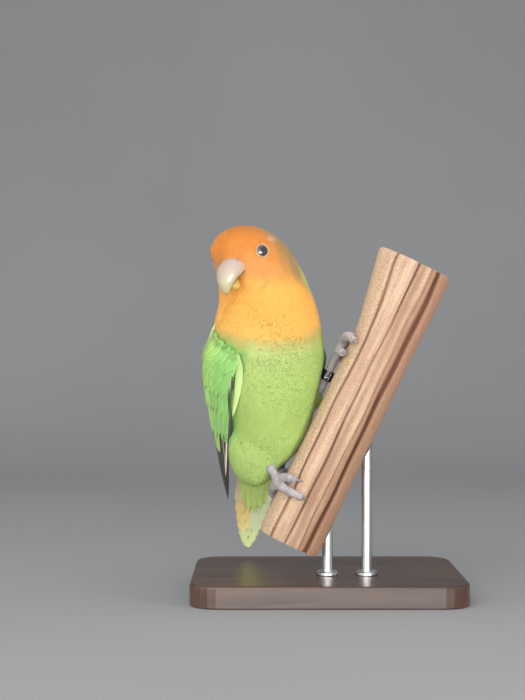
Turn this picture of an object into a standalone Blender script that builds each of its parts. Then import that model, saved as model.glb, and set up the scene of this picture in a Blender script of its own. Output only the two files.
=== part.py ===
# A peach-faced lovebird, life size, gripping a cut length of grooved branch on a display stand.
# Sizes below are in millimetres. The stand's base is centred on the origin and stands on the floor,
# +X is to the right and -Y is towards somebody who faces the bird. Heights are drawn from a datum
# that add_object lifts DATUM above the floor, so that the hanging tail clears the base.

import math
import random
from collections import namedtuple

import bmesh
import bpy
import numpy as np

MM = 0.001
GAP = 0.3  # clearance between neighbouring pieces
DATUM = 6.0

# Torso, neck and head are one stack of level slices, from the crown down to the vent.
# x, y is the slice's centre, half_width is across the bird, front and back run along it,
# yaw turns the slice about z, and taper narrows its front.
Slice = namedtuple("Slice", "z x y half_width front back yaw taper")
SLICES = [
    Slice(164.0, -38.3, -11.0, 18.4, 18.2, 20.0, -32, 0.20),
    Slice(157.0, -37.5, -9.8, 18.8, 19.2, 21.4, -32, 0.20),
    Slice(152.5, -36.9, -9.0, 18.9, 19.2, 22.2, -32, 0.22),
    Slice(148.0, -35.5, -8.6, 18.9, 18.2, 22.6, -32, 0.22),
    Slice(141.0, -32.2, -8.3, 20.0, 16.4, 23.0, -30, 0.16),
    Slice(134.0, -29.4, -8.0, 21.2, 16.4, 23.8, -20, 0.08),
    Slice(127.0, -27.4, -8.0, 22.6, 18.0, 24.4, -4, 0.04),
    Slice(120.0, -26.9, -8.0, 23.8, 20.4, 25.2, 8, 0.0),
    Slice(111.0, -26.3, -8.0, 24.8, 22.8, 26.0, 15, 0.0),
    Slice(104.0, -26.1, -8.0, 25.0, 23.6, 26.4, 15, 0.0),
    Slice(93.0, -26.8, -8.0, 23.8, 23.0, 26.8, 15, 0.0),
    Slice(84.0, -27.0, -7.2, 22.0, 22.0, 26.6, 15, 0.0),
    Slice(74.0, -27.4, -4.0, 19.8, 22.6, 23.6, 15, 0.0),
    Slice(65.0, -28.5, -1.0, 18.9, 24.4, 24.4, 15, 0.0),
    Slice(58.0, -30.7, 1.6, 18.9, 26.0, 26.0, 15, 0.0),
    Slice(52.0, -33.0, 5.0, 18.8, 28.0, 28.0, 15, 0.0),
    Slice(46.0, -33.2, 6.0, 18.8, 28.0, 28.0, 15, 0.0),
]
CROWN_TOP, CROWN_START = 163.8, 146.0  # the crown rounds over between these heights
VENT_BOTTOM, VENT_START = 46.0, 84.0
NECK_TOP, NECK_BASE = 134.5, 120.5  # where head, neck and torso part
RING_POINTS = 32

# The wings and tail use the bird's own axes: left, forward and up from this point.
BIRD_X, BIRD_Y, BIRD_YAW = -28.5, -8.0, math.radians(15)

HEAD_YAW = math.radians(-32)
HEAD_CENTRE = (-34.6, -8.6)
EYE_HEIGHT, EYE_ANGLE = 151.4, math.radians(60)
EYEBALL_RADIUS, EYE_OPENING_RADIUS = 4.0, 2.75
LID_RADIUS = 0.5

BillStation = namedtuple("BillStation", "forward z pitch half_width up down")
UPPER_BILL = [
    BillStation(10.0, 143.6, 0, 5.8, 5.0, 4.4),
    BillStation(15.0, 143.6, -10, 6.0, 4.8, 4.8),
    BillStation(18.0, 142.6, -32, 6.0, 4.4, 4.6),
    BillStation(20.3, 140.4, -56, 5.5, 3.6, 3.8),
    BillStation(21.6, 137.6, -74, 4.4, 2.7, 2.8),
    BillStation(22.0, 134.8, -88, 2.9, 1.9, 1.8),
    BillStation(21.7, 132.6, -100, 1.3, 1.0, 0.9),
]
UPPER_BILL_TIP = (21.0, 130.9)
LOWER_BILL = [
    BillStation(9.0, 135.6, -10, 3.2, 2.5, 2.6),
    BillStation(14.0, 135.3, -4, 3.1, 2.4, 2.4),
    BillStation(16.8, 135.3, 12, 2.7, 2.0, 2.0),
    BillStation(18.6, 135.8, 35, 1.8, 1.3, 1.3),
]
LOWER_BILL_TIP = (19.6, 136.6)
NOSTRIL_RADIUS = 0.55

# Perch: a branch that leans to the right and has weathered into long ridges and grooves.
PERCH_LEAN = math.radians(64.3)
PERCH_FOOT = (-17.9, -12.0, 18.8)
PERCH_LENGTH = 140.0
PERCH_HALF_WIDTH, PERCH_HALF_DEPTH = 14.5, 12.0
PERCH_SQUARENESS = 0.82
PERCH_FORK_START, PERCH_FORK_SWELL = 99.0, 6.5  # the branch widens on the left towards a fork
Groove = namedtuple("Groove", "across width depth")
FRONT_GROOVES = [
    Groove(-0.66, 0.05, 0.10),
    Groove(-0.12, 0.07, 0.12),
    Groove(0.10, 0.16, 0.10),
    Groove(0.36, 0.04, 0.06),
    Groove(0.60, 0.08, 0.20),
]
BACK_GROOVES = [
    Groove(-0.55, 0.08, 0.12),
    Groove(0.0, 0.14, 0.10),
    Groove(0.52, 0.07, 0.14),
]

# Stand
BASE_WIDTH, BASE_DEPTH, BASE_HEIGHT = 124.0, 88.0, 10.0
BASE_CORNER, BASE_BEVEL = 12.0, 1.2
BASE_TOP = BASE_HEIGHT - DATUM
ROD_RADIUS = 2.4
FLANGE_RADIUS, FLANGE_HEIGHT = 5.0, 1.6
RodPlace = namedtuple("RodPlace", "x y top")
ROD_PLACES = {
    "stand_rod_lower": RodPlace(0.0, -12.0, 40.0),
    "stand_rod_upper": RodPlace(18.0, -12.0, 80.0),
}

# Legs and feet
TARSUS_RADIUS, TOE_RADIUS, TOE_TIP_RADIUS = 1.75, 1.7, 1.3
CLAW_LENGTH, CLAW_RADIUS = 4.2, 0.8
RING_BORE_RADIUS, RING_WALL, RING_LENGTH, RING_PLACE = 2.35, 0.55, 4.6, 0.36

# Feathers
VANE_THICKNESS = 0.5
FEATHER_RIDGE = 0.28

COLOURS = {
    "orange": (0.83, 0.33, 0.07),
    "bib": (0.93, 0.47, 0.12),
    "green": (0.36, 0.62, 0.14),
    "wing_green": (0.22, 0.52, 0.12),
    "tail_green": (0.36, 0.55, 0.16),
    "bill": (0.80, 0.66, 0.50),
    "eye": (0.02, 0.015, 0.012),
    "foot": (0.42, 0.38, 0.36),
    "claw": (0.20, 0.18, 0.17),
    "leg_ring": (0.02, 0.02, 0.02),
    "branch": (0.60, 0.42, 0.27),
    "stand_wood": (0.10, 0.06, 0.04),
    "stand_steel": (0.55, 0.55, 0.55),
}
METALS = {"stand_steel": 1.0, "leg_ring": 0.4}
ROUGHNESS = {"eye": 0.05, "bill": 0.35, "claw": 0.4, "leg_ring": 0.35, "stand_steel": 0.3}

CHANCE = random.Random(7)


# Scene and mesh helpers

def clear_scene():
    for obj in list(bpy.data.objects):
        bpy.data.objects.remove(obj, do_unlink=True)


def material(slot):
    found = bpy.data.materials.get(slot)
    if found:
        return found
    made = bpy.data.materials.new(slot)
    made.use_nodes = True
    shader = made.node_tree.nodes["Principled BSDF"]
    shader.inputs["Base Color"].default_value = (*COLOURS[slot], 1.0)
    shader.inputs["Roughness"].default_value = ROUGHNESS.get(slot, 0.7)
    shader.inputs["Metallic"].default_value = METALS.get(slot, 0.0)
    return made


def add_object(name, points, faces, slot, collection=None):
    """A mesh object from points in millimetres, with its faces turned outwards."""
    mesh = bpy.data.meshes.new(name)
    mesh.from_pydata([(x * MM, y * MM, (z + DATUM) * MM) for x, y, z in points], [], faces)
    shape = bmesh.new()
    shape.from_mesh(mesh)
    bmesh.ops.triangulate(shape, faces=shape.faces[:])
    bmesh.ops.recalc_face_normals(shape, faces=shape.faces[:])
    shape.to_mesh(mesh)
    shape.free()
    mesh.materials.append(material(slot))
    mesh.shade_smooth()
    mesh.set_sharp_from_angle(angle=math.radians(50))
    obj = bpy.data.objects.new(name, mesh)
    (collection or bpy.context.scene.collection).objects.link(obj)
    return obj


def loft(rings, start_point=None, end_point=None):
    """Points and faces of a closed tube through rings of equal length, each end brought to a point."""
    count = len(rings[0])
    points = [tuple(p) for ring in rings for p in ring]
    faces = []
    for r in range(len(rings) - 1):
        for k in range(count):
            a = r * count + k
            b = r * count + (k + 1) % count
            faces.append((a, b, b + count, a + count))
    ends = ((0, start_point), ((len(rings) - 1) * count, end_point))
    for first, point in ends:
        centre = len(points)
        ring = rings[first // count]
        points.append(tuple(point) if point is not None else tuple(np.mean(ring, axis=0)))
        for k in range(count):
            faces.append((first + k, first + (k + 1) % count, centre))
    return points, faces


def boolean(target, operand, operation, solver="EXACT"):
    """Applies a Boolean to target. The operand is an object or a collection, and is removed."""
    cut = target.modifiers.new(operation, "BOOLEAN")
    cut.operation = operation
    cut.solver = solver
    if isinstance(operand, bpy.types.Collection):
        cut.operand_type = "COLLECTION"
        cut.collection = operand
        used = list(operand.objects)
    else:
        cut.object = operand
        used = [operand]
    graph = bpy.context.evaluated_depsgraph_get()
    graph.update()
    result = bpy.data.meshes.new_from_object(target.evaluated_get(graph))
    target.modifiers.clear()
    target.data = result
    for obj in used:
        bpy.data.objects.remove(obj, do_unlink=True)
    if isinstance(operand, bpy.types.Collection):
        bpy.data.collections.remove(operand)
    keep_largest(target)
    return target


def keep_largest(obj):
    """Keeps the closed surface that holds the most volume, and drops loose scraps."""
    shape = bmesh.new()
    shape.from_mesh(obj.data)
    bmesh.ops.triangulate(shape, faces=shape.faces[:])
    unseen = set(shape.faces)
    islands = []
    while unseen:
        stack = [unseen.pop()]
        island = []
        while stack:
            face = stack.pop()
            island.append(face)
            for edge in face.edges:
                for other in edge.link_faces:
                    if other in unseen:
                        unseen.remove(other)
                        stack.append(other)
        islands.append(island)

    def volume(island):
        corners = ([v.co for v in face.verts] for face in island)
        return abs(sum(a.dot(b.cross(c)) for a, b, c in corners))

    largest = max(islands, key=volume)
    for island in islands:
        if island is not largest:
            bmesh.ops.delete(shape, geom=island, context="FACES")
    shape.to_mesh(obj.data)
    shape.free()


def union(name, pieces, slot, solver="EXACT"):
    """One node from a list of (points, faces): the first piece, with the others joined to it."""
    target = add_object(name, *pieces[0], slot)
    group = bpy.data.collections.new(name + "_pieces")
    bpy.context.scene.collection.children.link(group)
    for index, piece in enumerate(pieces[1:]):
        add_object(f"{name}_piece_{index}", *piece, slot, group)
    return boolean(target, group, "UNION", solver)


# Curves through named points

def through(knots, values, at):
    """Values read from a smooth curve through the knots, with slopes that don't overshoot."""
    knots = np.asarray(knots, float)
    values = np.asarray(values, float)
    steps = np.diff(knots)
    slopes = np.diff(values, axis=0) / steps.reshape(-1, *[1] * (values.ndim - 1))
    tangents = np.concatenate([slopes[:1], (slopes[1:] + slopes[:-1]) / 2, slopes[-1:]])
    at = float(np.clip(at, knots[0], knots[-1]))
    i = int(min(np.searchsorted(knots, at, side="right") - 1, len(steps) - 1))
    h = steps[i]
    t = (at - knots[i]) / h
    return (
        (2 * t**3 - 3 * t**2 + 1) * values[i]
        + (t**3 - 2 * t**2 + t) * h * tangents[i]
        + (-2 * t**3 + 3 * t**2) * values[i + 1]
        + (t**3 - t**2) * h * tangents[i + 1]
    )


def unit(v):
    v = np.asarray(v, float)
    return v / max(float(np.linalg.norm(v)), 1e-9)


# Head, neck and torso

def slice_at(z):
    table = SLICES[::-1]
    return Slice(z, *through([s.z for s in table], [tuple(s)[1:] for s in table], z))


def round_over(z):
    """How much of its full width a slice keeps where the crown and the vent round over."""
    if z > CROWN_START:
        return math.sqrt(max(0.0, 1 - ((z - CROWN_START) / (CROWN_TOP - CROWN_START)) ** 2))
    if z < VENT_START:
        return math.sqrt(max(0.0, 1 - ((VENT_START - z) / (VENT_START - VENT_BOTTOM)) ** 2))
    return 1.0


def body_point(z, angle, grow=0.0):
    """A point on the plumage at height z. The angle runs from straight ahead towards the bird's left."""
    s = slice_at(z)
    share = round_over(z)
    c, w = math.cos(angle), math.sin(angle)
    length = (s.front if c > 0 else s.back) * share + grow
    left = (s.half_width * share * (1 - s.taper * c) + grow) * w
    forward = length * c
    yaw = math.radians(s.yaw)
    x = s.x + left * math.cos(yaw) + forward * math.sin(yaw)
    y = s.y + left * math.sin(yaw) - forward * math.cos(yaw)
    return np.array((x, y, z))


def body_ring(z, grow=0.0, count=RING_POINTS):
    return [body_point(z, 2 * math.pi * k / count, grow) for k in range(count)]


def body_axis(z):
    s = slice_at(z)
    return np.array((s.x, s.y, z))


def body_heights(top, bottom):
    """Slice heights, closer together where an end rounds over."""
    heights = []
    if top >= CROWN_TOP:
        for turn in (20, 35, 50, 65, 78):
            heights.append(CROWN_START + (CROWN_TOP - CROWN_START) * math.cos(math.radians(turn)))
        top = CROWN_START + 2.0
    end = VENT_START - 6.0 if bottom <= VENT_BOTTOM else bottom
    steps = max(2, round((top - end) / 4.2))
    heights += [top + (end - top) * k / steps for k in range(steps + 1)]
    if bottom <= VENT_BOTTOM:
        for turn in (66, 54, 43, 32, 20):
            heights.append(VENT_START - (VENT_START - VENT_BOTTOM) * math.cos(math.radians(turn)))
    return heights


def body_part(top, bottom, grow=0.0):
    rings = [body_ring(z, grow) for z in body_heights(top, bottom)]
    start = body_axis(CROWN_TOP + grow) if top >= CROWN_TOP else None
    end = body_axis(VENT_BOTTOM) - (0, 0, grow) if bottom <= VENT_BOTTOM else None
    return loft(rings, start, end)


def head_direction(forward=0.0, left=0.0, up=0.0):
    x = left * math.cos(HEAD_YAW) + forward * math.sin(HEAD_YAW)
    y = left * math.sin(HEAD_YAW) - forward * math.cos(HEAD_YAW)
    return np.array((x, y, up))


def head_point(forward, left, z):
    return np.array((*HEAD_CENTRE, 0.0)) + head_direction(forward, left, z)


def ball(centre, radii, axes=None, rings=8, count=14):
    """A closed ellipsoid. The axes are its three unit directions, the last one pole to pole."""
    axes = axes or (np.array((1, 0, 0)), np.array((0, 1, 0)), np.array((0, 0, 1)))
    centre = np.asarray(centre, float)

    def at(polar, turn):
        return (
            centre
            + axes[0] * radii[0] * math.sin(polar) * math.cos(turn)
            + axes[1] * radii[1] * math.sin(polar) * math.sin(turn)
            + axes[2] * radii[2] * math.cos(polar)
        )

    rows = [
        [at(math.pi * r / rings, 2 * math.pi * k / count) for k in range(count)]
        for r in range(1, rings)
    ]
    return loft(rows, at(0, 0), at(math.pi, 0))


def frame_about(direction, hint=(0, 0, 1)):
    """Two unit directions square to the given one."""
    direction = unit(direction)
    side = unit(np.cross(hint, direction))
    return side, np.cross(direction, side), direction


def torus(centre, axis, major, minor, count=20, sides=6):
    side, up, axis = frame_about(axis)
    points = []
    faces = []
    for i in range(count):
        turn = 2 * math.pi * i / count
        out = side * math.cos(turn) + up * math.sin(turn)
        for j in range(sides):
            tilt = 2 * math.pi * j / sides
            points.append(centre + out * (major + minor * math.cos(tilt)) + axis * minor * math.sin(tilt))
            a, b = i * sides + j, i * sides + (j + 1) % sides
            c = (i + 1) % count * sides
            faces.append((a, b, c + (j + 1) % sides, c + j))
    return points, faces


def eye_frame(side):
    """Where an eye looks out of the head, and which way. Side is 1 for the left eye, -1 for the right."""
    here = body_point(EYE_HEIGHT, side * EYE_ANGLE)
    ahead = body_point(EYE_HEIGHT, side * (EYE_ANGLE - 0.1)) - here
    above = body_point(EYE_HEIGHT + 1.0, side * EYE_ANGLE) - here
    outward = unit(np.cross(above, ahead)) * side
    return here, outward


def make_eyes():
    for name, side in (("eye_left", 1), ("eye_right", -1)):
        here, outward = eye_frame(side)
        sunk = math.sqrt(EYEBALL_RADIUS**2 - EYE_OPENING_RADIUS**2)
        centre = here - outward * sunk
        add_object(name, *ball(centre, [EYEBALL_RADIUS] * 3, frame_about(outward), 10, 16), "eye")


def make_head():
    pieces = [body_part(CROWN_TOP, NECK_TOP + GAP / 2)]
    for side in (1, -1):
        here, outward = eye_frame(side)
        pieces.append(torus(here + outward * 0.1, outward, EYE_OPENING_RADIUS + LID_RADIUS, LID_RADIUS))
    head = union("head", pieces, "orange")
    for side in (1, -1):
        here, outward = eye_frame(side)
        sunk = math.sqrt(EYEBALL_RADIUS**2 - EYE_OPENING_RADIUS**2)
        socket = ball(here - outward * sunk, [EYEBALL_RADIUS + GAP] * 3, frame_about(outward), 10, 16)
        boolean(head, add_object("socket", *socket, "orange"), "DIFFERENCE")
    return head


def bill_rings(stations, grow=0.0, count=14):
    rings = []
    for s in stations:
        pitch = math.radians(s.pitch)
        normal = head_direction(-math.sin(pitch), 0, math.cos(pitch))
        across = head_direction(0, 1, 0)
        centre = head_point(s.forward, 0, s.z)
        ring = []
        for k in range(count):
            turn = 2 * math.pi * k / count
            height = (s.up if math.sin(turn) > 0 else s.down) + grow
            rise = height * math.sin(turn)
            ring.append(centre + across * (s.half_width + grow) * math.cos(turn) + normal * rise)
        rings.append(ring)
    return rings


def bill_half(stations, tip, grow=0.0):
    lip = head_direction(0, 0, -grow)
    return loft(bill_rings(stations, grow), None, head_point(tip[0], 0, tip[1]) + lip)


def make_bill():
    upper = add_object("bill_upper", *bill_half(UPPER_BILL, UPPER_BILL_TIP), "bill")
    face = body_part(CROWN_TOP, NECK_TOP - 6.0, GAP)
    boolean(upper, add_object("face", *face, "bill"), "DIFFERENCE")
    for side in (1, -1):
        nostril = ball(head_point(18.6, side * 2.6, 147.6), [NOSTRIL_RADIUS] * 3, None, 6, 8)
        boolean(upper, add_object("nostril", *nostril, "bill"), "DIFFERENCE")
    lower = add_object("bill_lower", *bill_half(LOWER_BILL, LOWER_BILL_TIP), "bill")
    roof = bill_half(UPPER_BILL, UPPER_BILL_TIP, GAP)
    boolean(lower, add_object("roof", *roof, "bill"), "DIFFERENCE")
    face = body_part(CROWN_TOP, NECK_TOP - 6.0, GAP)
    boolean(lower, add_object("face", *face, "bill"), "DIFFERENCE")


def make_neck_and_torso():
    add_object("neck", *body_part(NECK_TOP - GAP / 2, NECK_BASE + GAP / 2), "bib")
    add_object("torso", *body_part(NECK_BASE - GAP / 2, VENT_BOTTOM), "green")


# Wings

def bird_point(left, forward, z):
    x = BIRD_X + left * math.cos(BIRD_YAW) + forward * math.sin(BIRD_YAW)
    y = BIRD_Y + left * math.sin(BIRD_YAW) - forward * math.cos(BIRD_YAW)
    return np.array((x, y, z))


# Each guide runs from the wing's bend to its tip, in the bird's own axes: left, forward, up.
# The front guide follows the primaries' edge, the middle one the flank and the back one the spine.
WING_GUIDES = {
    "wing_right": {
        "front": [
            (-17.0, 18.5, 104.0),
            (-19.2, 11.0, 88.0),
            (-17.0, 2.0, 71.0),
            (-12.2, -16.0, 54.0),
            (-9.3, -31.0, 34.8),
        ],
        "middle": [
            (-27.2, 0.0, 114.0),
            (-26.6, -9.8, 96.0),
            (-22.0, -16.0, 76.0),
            (-16.0, -23.0, 57.0),
            (-9.9, -34.0, 35.0),
        ],
        "back": [
            (-9.0, -23.0, 120.0),
            (-7.5, -28.0, 100.0),
            (-6.5, -30.5, 79.0),
            (-7.6, -33.0, 58.0),
            (-8.7, -36.5, 35.6),
        ],
    },
    "wing_left": {
        "front": [
            (26.8, 1.0, 104.0),
            (26.4, -3.0, 88.0),
            (22.6, -11.0, 71.0),
            (17.0, -23.0, 54.0),
            (14.2, -32.5, 35.4),
        ],
        "middle": [
            (25.5, -12.0, 113.0),
            (24.4, -17.5, 96.0),
            (20.0, -22.0, 76.0),
            (16.0, -28.0, 57.0),
            (13.8, -35.5, 35.6),
        ],
        "back": [
            (9.5, -25.0, 120.0),
            (8.5, -28.5, 100.0),
            (9.0, -31.0, 79.0),
            (12.0, -34.4, 58.0),
            (13.2, -38.4, 36.0),
        ],
    },
}
GUIDE_AT = (0.0, 0.25, 0.5, 0.75, 1.0)
CORE_END = 0.62
CORE_THICKNESS, CORE_MOST = 0.9, 6.0
WING_GAP = 0.5
SHOULDER_RISE = 0.12  # the wing comes out of the plumage over this share of its length


def off_body(point, distance, only_outwards=True):
    """The point, moved level along its line from the body's axis until it is that far off the plumage."""
    z = float(point[2])
    if z <= VENT_BOTTOM + 1.0:
        return point
    s = slice_at(z)
    axis = np.array((s.x, s.y))
    out = point[:2] - axis
    yaw = math.radians(s.yaw)
    left = out[0] * math.cos(yaw) + out[1] * math.sin(yaw)
    forward = out[0] * math.sin(yaw) - out[1] * math.cos(yaw)
    share = round_over(z)
    length = (s.front if forward > 0 else s.back) * share + distance
    width = s.half_width * share + distance
    reach = math.hypot(left / width, forward / length)
    if reach >= 1.0 and only_outwards:
        return point
    return np.array((*(axis + out / max(reach, 1e-6)), z))


def smooth_step(t):
    t = min(max(t, 0.0), 1.0)
    return t * t * (3 - 2 * t)


def wing_sheet(wing, across, along):
    """A point on the folded wing's outer face: across 0 is its front edge, along 0 its bend."""
    guides = WING_GUIDES[wing]
    front, middle, back = (
        through(GUIDE_AT, guides[name], along) for name in ("front", "middle", "back")
    )
    a = across
    blend = front * (1 - a) * (1 - 2 * a) + middle * 4 * a * (1 - a) + back * a * (2 * a - 1)
    spread = off_body(bird_point(*blend), WING_GAP + CORE_THICKNESS)
    close = off_body(spread, WING_GAP + CORE_THICKNESS, only_outwards=False)
    return close + (spread - close) * smooth_step(along / SHOULDER_RISE)


def wing_frame(wing, across, along):
    """Point, outward normal and backward direction of the wing sheet."""
    step = 0.02
    here = wing_sheet(wing, across, along)
    back = wing_sheet(wing, across + step, along) - wing_sheet(wing, across - step, along)
    down = wing_sheet(wing, across, min(along + step, 1.0)) - wing_sheet(wing, across, along - step)
    side = 1 if wing == "wing_left" else -1
    normal = unit(np.cross(unit(back), unit(down))) * -side
    return here, normal, unit(back), unit(down)


def wing_core(wing):
    """The closed plate that the wing's feathers grow from, thick enough to lie on the body."""
    rows, columns = 10, 9
    outer, inner = [], []
    for i in range(rows + 1):
        along = CORE_END * i / rows
        for j in range(columns + 1):
            across = 0.02 + 0.96 * j / columns
            point = wing_sheet(wing, across, along)
            most = CORE_MOST * (1 - along / CORE_END) * smooth_step(along / SHOULDER_RISE) + CORE_THICKNESS
            axis = body_axis(float(point[2]))
            inward = unit((axis - point) * (1, 1, 0))
            outer.append(point)
            inner.append(off_body(point + inward * most, WING_GAP))
    width = columns + 1
    offset = len(outer)
    faces = []
    for i in range(rows):
        for j in range(columns):
            a = i * width + j
            faces.append((a, a + 1, a + width + 1, a + width))
            faces.append((offset + a, offset + a + width, offset + a + width + 1, offset + a + 1))
    border = [j for j in range(width)]
    border += [i * width + columns for i in range(1, rows + 1)]
    border += [rows * width + j for j in range(columns - 1, -1, -1)]
    border += [i * width for i in range(rows - 1, 0, -1)]
    for a, b in zip(border, border[1:] + border[:1]):
        faces.append((a, b, offset + b, offset + a))
    return outer + inner, faces


VANE_OUTLINE = ((0.0, 0.55), (0.25, 0.92), (0.55, 1.0), (0.8, 0.82), (0.94, 0.48))


def vane(place, length_steps, half_width, lift, thickness=VANE_THICKNESS):
    """A closed feather blade. place(t) gives its centre line, normal and side direction for t from 0 to 1.

    lift is how far its root and its tip stand off the sheet below.
    """
    rings = []
    for t, share in length_steps:
        centre, normal, side = place(t)
        middle = centre + normal * (lift[0] + (lift[1] - lift[0]) * t)
        w = half_width * share
        edge = normal * -FEATHER_RIDGE
        floor = normal * -thickness
        rings.append(
            [
                middle - side * w + edge,
                middle,
                middle + side * w + edge,
                middle + side * w + edge + floor,
                middle + floor,
                middle - side * w + edge + floor,
            ]
        )
    centre, normal, side = place(1.0)
    tip = centre + normal * (lift[1] - thickness / 2 - FEATHER_RIDGE / 2)
    return loft(rings, None, tip)


def wing_vane(wing, root, tip, half_width, lift, outline=VANE_OUTLINE):
    """A vane laid on the wing sheet between two (across, along) places."""
    def place(t):
        across = root[0] + (tip[0] - root[0]) * t
        along = root[1] + (tip[1] - root[1]) * t
        here, normal, back, down = wing_frame(wing, across, along)
        return here, normal, unit(np.cross(down, normal))

    return vane(place, outline, half_width, lift)


FeatherRow = namedtuple("FeatherRow", "count across root_along tip_along half_width lift lean")
WING_ROWS = [
    FeatherRow(6, (0.10, 0.90), (0.10, 0.12), (0.30, 0.30), 3.0, (-0.5, 0.8), 0.02),
    FeatherRow(7, (0.08, 0.94), (0.26, 0.24), (0.47, 0.44), 3.0, (-0.5, 0.9), 0.02),
    FeatherRow(7, (0.24, 0.95), (0.44, 0.40), (0.72, 0.64), 3.1, (-0.5, 0.9), 0.03),
]
PRIMARIES = 6


def make_wing(wing):
    pieces = [wing_core(wing)]
    for index in range(PRIMARIES):
        # The outermost primary is the longest, and each one above it lies a little further back.
        share = index / (PRIMARIES - 1)
        root = (0.07 + 0.30 * share, 0.40 - 0.02 * share)
        tip = (0.30 + 0.34 * share, 1.0 - 0.17 * share)
        low = 0.05 + 0.16 * index
        pieces.append(wing_vane(wing, root, tip, 2.3, (-0.6 + low * 0.3, low), VANE_OUTLINE))
    for row in WING_ROWS[::-1]:
        for index in range(row.count):
            share = index / (row.count - 1)
            across = row.across[0] + (row.across[1] - row.across[0]) * share
            root = (across, row.root_along[0] + (row.root_along[1] - row.root_along[0]) * share)
            reach = row.tip_along[0] + (row.tip_along[1] - row.tip_along[0]) * share
            lift = (row.lift[0], row.lift[1] + 0.06 * (index % 2))
            pieces.append(wing_vane(wing, root, (across + row.lean, reach), row.half_width, lift))
    for index in range(3):
        # Pale coverts along the bend of the wing
        root = (0.03 + 0.015 * index, 0.02 + 0.07 * index)
        tip = (0.04 + 0.01 * index, 0.20 + 0.085 * index)
        pieces.append(wing_vane(wing, root, tip, 1.9, (-0.4, 0.7 + 0.1 * index)))
    return union(wing, pieces, "wing_green")


# Tail

TAIL_ROOT, TAIL_TIP = (3.4, -22.5, 70.0), (3.0, -46.0, 10.6)
TAIL_FEATHERS = 12
TAIL_FAN = math.radians(0.26)  # between one feather and the next


def tail_frame():
    root, tip = bird_point(*TAIL_ROOT), bird_point(*TAIL_TIP)
    along = unit(tip - root)
    across = unit(bird_point(1, 0, 0) - bird_point(0, 0, 0))
    across = unit(across - along * np.dot(across, along))
    upper = unit(np.cross(across, along))
    if upper[1] < 0:
        upper = -upper
    return root, along, across, upper, float(np.linalg.norm(tip - root))


def tail_vane(place_across, turn, start, length, half_width, height, tip_rise=0.0):
    root, along, across, upper, _ = tail_frame()
    # No two feathers lie in quite the same plane.
    height += CHANCE.uniform(-0.06, 0.06)
    turn += math.radians(CHANCE.uniform(-0.4, 0.4))
    start += CHANCE.uniform(-0.5, 0.5)
    direction = unit(along * math.cos(turn) + across * math.sin(turn))
    side = unit(np.cross(direction, upper))

    def place(t):
        centre = root + across * place_across + direction * (start + length * t)
        return centre + upper * (height + tip_rise * t), upper, side

    return vane(place, VANE_OUTLINE, half_width, (0.0, 0.0), 0.55)


def make_tail():
    root, along, across, upper, length = tail_frame()
    middle = root + along * 13.0
    pieces = [ball(middle, (7.0, 3.6, 19.0), (across, upper, along), 8, 12)]
    half = (TAIL_FEATHERS - 1) / 2
    for index in range(TAIL_FEATHERS):
        offset = index - half
        outer = abs(offset) / half
        # The central pair is the longest and lies uppermost, and each pair outside it is shorter.
        reach = length * (1.0 - 0.40 * outer**1.4)
        height = 1.5 - 2.4 * outer
        pieces.append(tail_vane(offset * 0.85, offset * TAIL_FAN, 6.0, reach - 6.0, 3.3, height))
    for index in range(5):
        offset = index - 2
        side = abs(offset)
        turn = math.radians(2.4) * offset
        pieces.append(tail_vane(offset * 2.2, turn, 4.0, 27.0 - 3.0 * side, 3.0, 3.4 - 0.5 * side, -1.0))
        pieces.append(tail_vane(offset * 2.2, turn, 4.0, 38.0 - 4.0 * side, 3.2, -2.6 + 0.5 * side, 0.9))
    tail = union("tail", pieces, "tail_green")
    body = body_part(NECK_BASE, VENT_BOTTOM, GAP)
    boolean(tail, add_object("body", *body, "tail_green"), "DIFFERENCE")
    return tail


# Perch

PERCH_ALONG = np.array((math.cos(PERCH_LEAN), 0.0, math.sin(PERCH_LEAN)))
PERCH_RIGHT = np.array((math.sin(PERCH_LEAN), 0.0, -math.cos(PERCH_LEAN)))
PERCH_NEAR = np.array((0.0, -1.0, 0.0))


def perch_outline(angle, grooved=True):
    """The section's (right, near) place at an angle from its right side towards the viewer."""
    c, s = math.cos(angle), math.sin(angle)
    right = math.copysign(abs(c) ** PERCH_SQUARENESS, c)
    near = math.copysign(abs(s) ** PERCH_SQUARENESS, s)
    depth = 1.0
    if grooved:
        for groove in FRONT_GROOVES if s > 0 else BACK_GROOVES:
            depth -= groove.depth * math.exp(-(((right - groove.across) / groove.width) ** 2))
    return right * PERCH_HALF_WIDTH * (0.6 + 0.4 * depth), near * PERCH_HALF_DEPTH * depth


def perch_point(angle, along, height=0.0, grooved=False):
    """A point on the perch, or that far off it, at a distance along it from its foot."""
    right, near = perch_outline(angle, grooved)
    out = unit(PERCH_RIGHT * right / PERCH_HALF_WIDTH**2 + PERCH_NEAR * near / PERCH_HALF_DEPTH**2)
    centre = np.array(PERCH_FOOT) + PERCH_ALONG * along
    return centre + PERCH_RIGHT * right + PERCH_NEAR * near + out * height


def circle_ring(centre, side, up, radius, count):
    """Points round a circle that lies in the plane of side and up."""
    turns = [2 * math.pi * k / count for k in range(count)]
    return [centre + (side * math.cos(t) + up * math.sin(t)) * radius for t in turns]


def perch_angles():
    """Angles round the section, closer together across the grooves."""
    angles = set()
    for grooves, sign in ((FRONT_GROOVES, 1), (BACK_GROOVES, -1)):
        for groove in grooves:
            for side in (-1.3, -0.5, 0.5, 1.3) if groove.width < 0.1 else (-1.2, 0.0, 1.2):
                across = groove.across + side * groove.width
                level = math.copysign(abs(across) ** (1 / PERCH_SQUARENESS), across)
                angles.add(round(sign * math.acos(level), 4))
    angles |= {round(math.radians(a), 4) for a in (0, 12, -12, 168, -168, 180, 26, -26, 154, -154)}
    ordered = sorted(angles)
    kept = [ordered[0]]
    for angle in ordered[1:]:
        if angle - kept[-1] > 0.03:
            kept.append(angle)
    return kept


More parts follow.
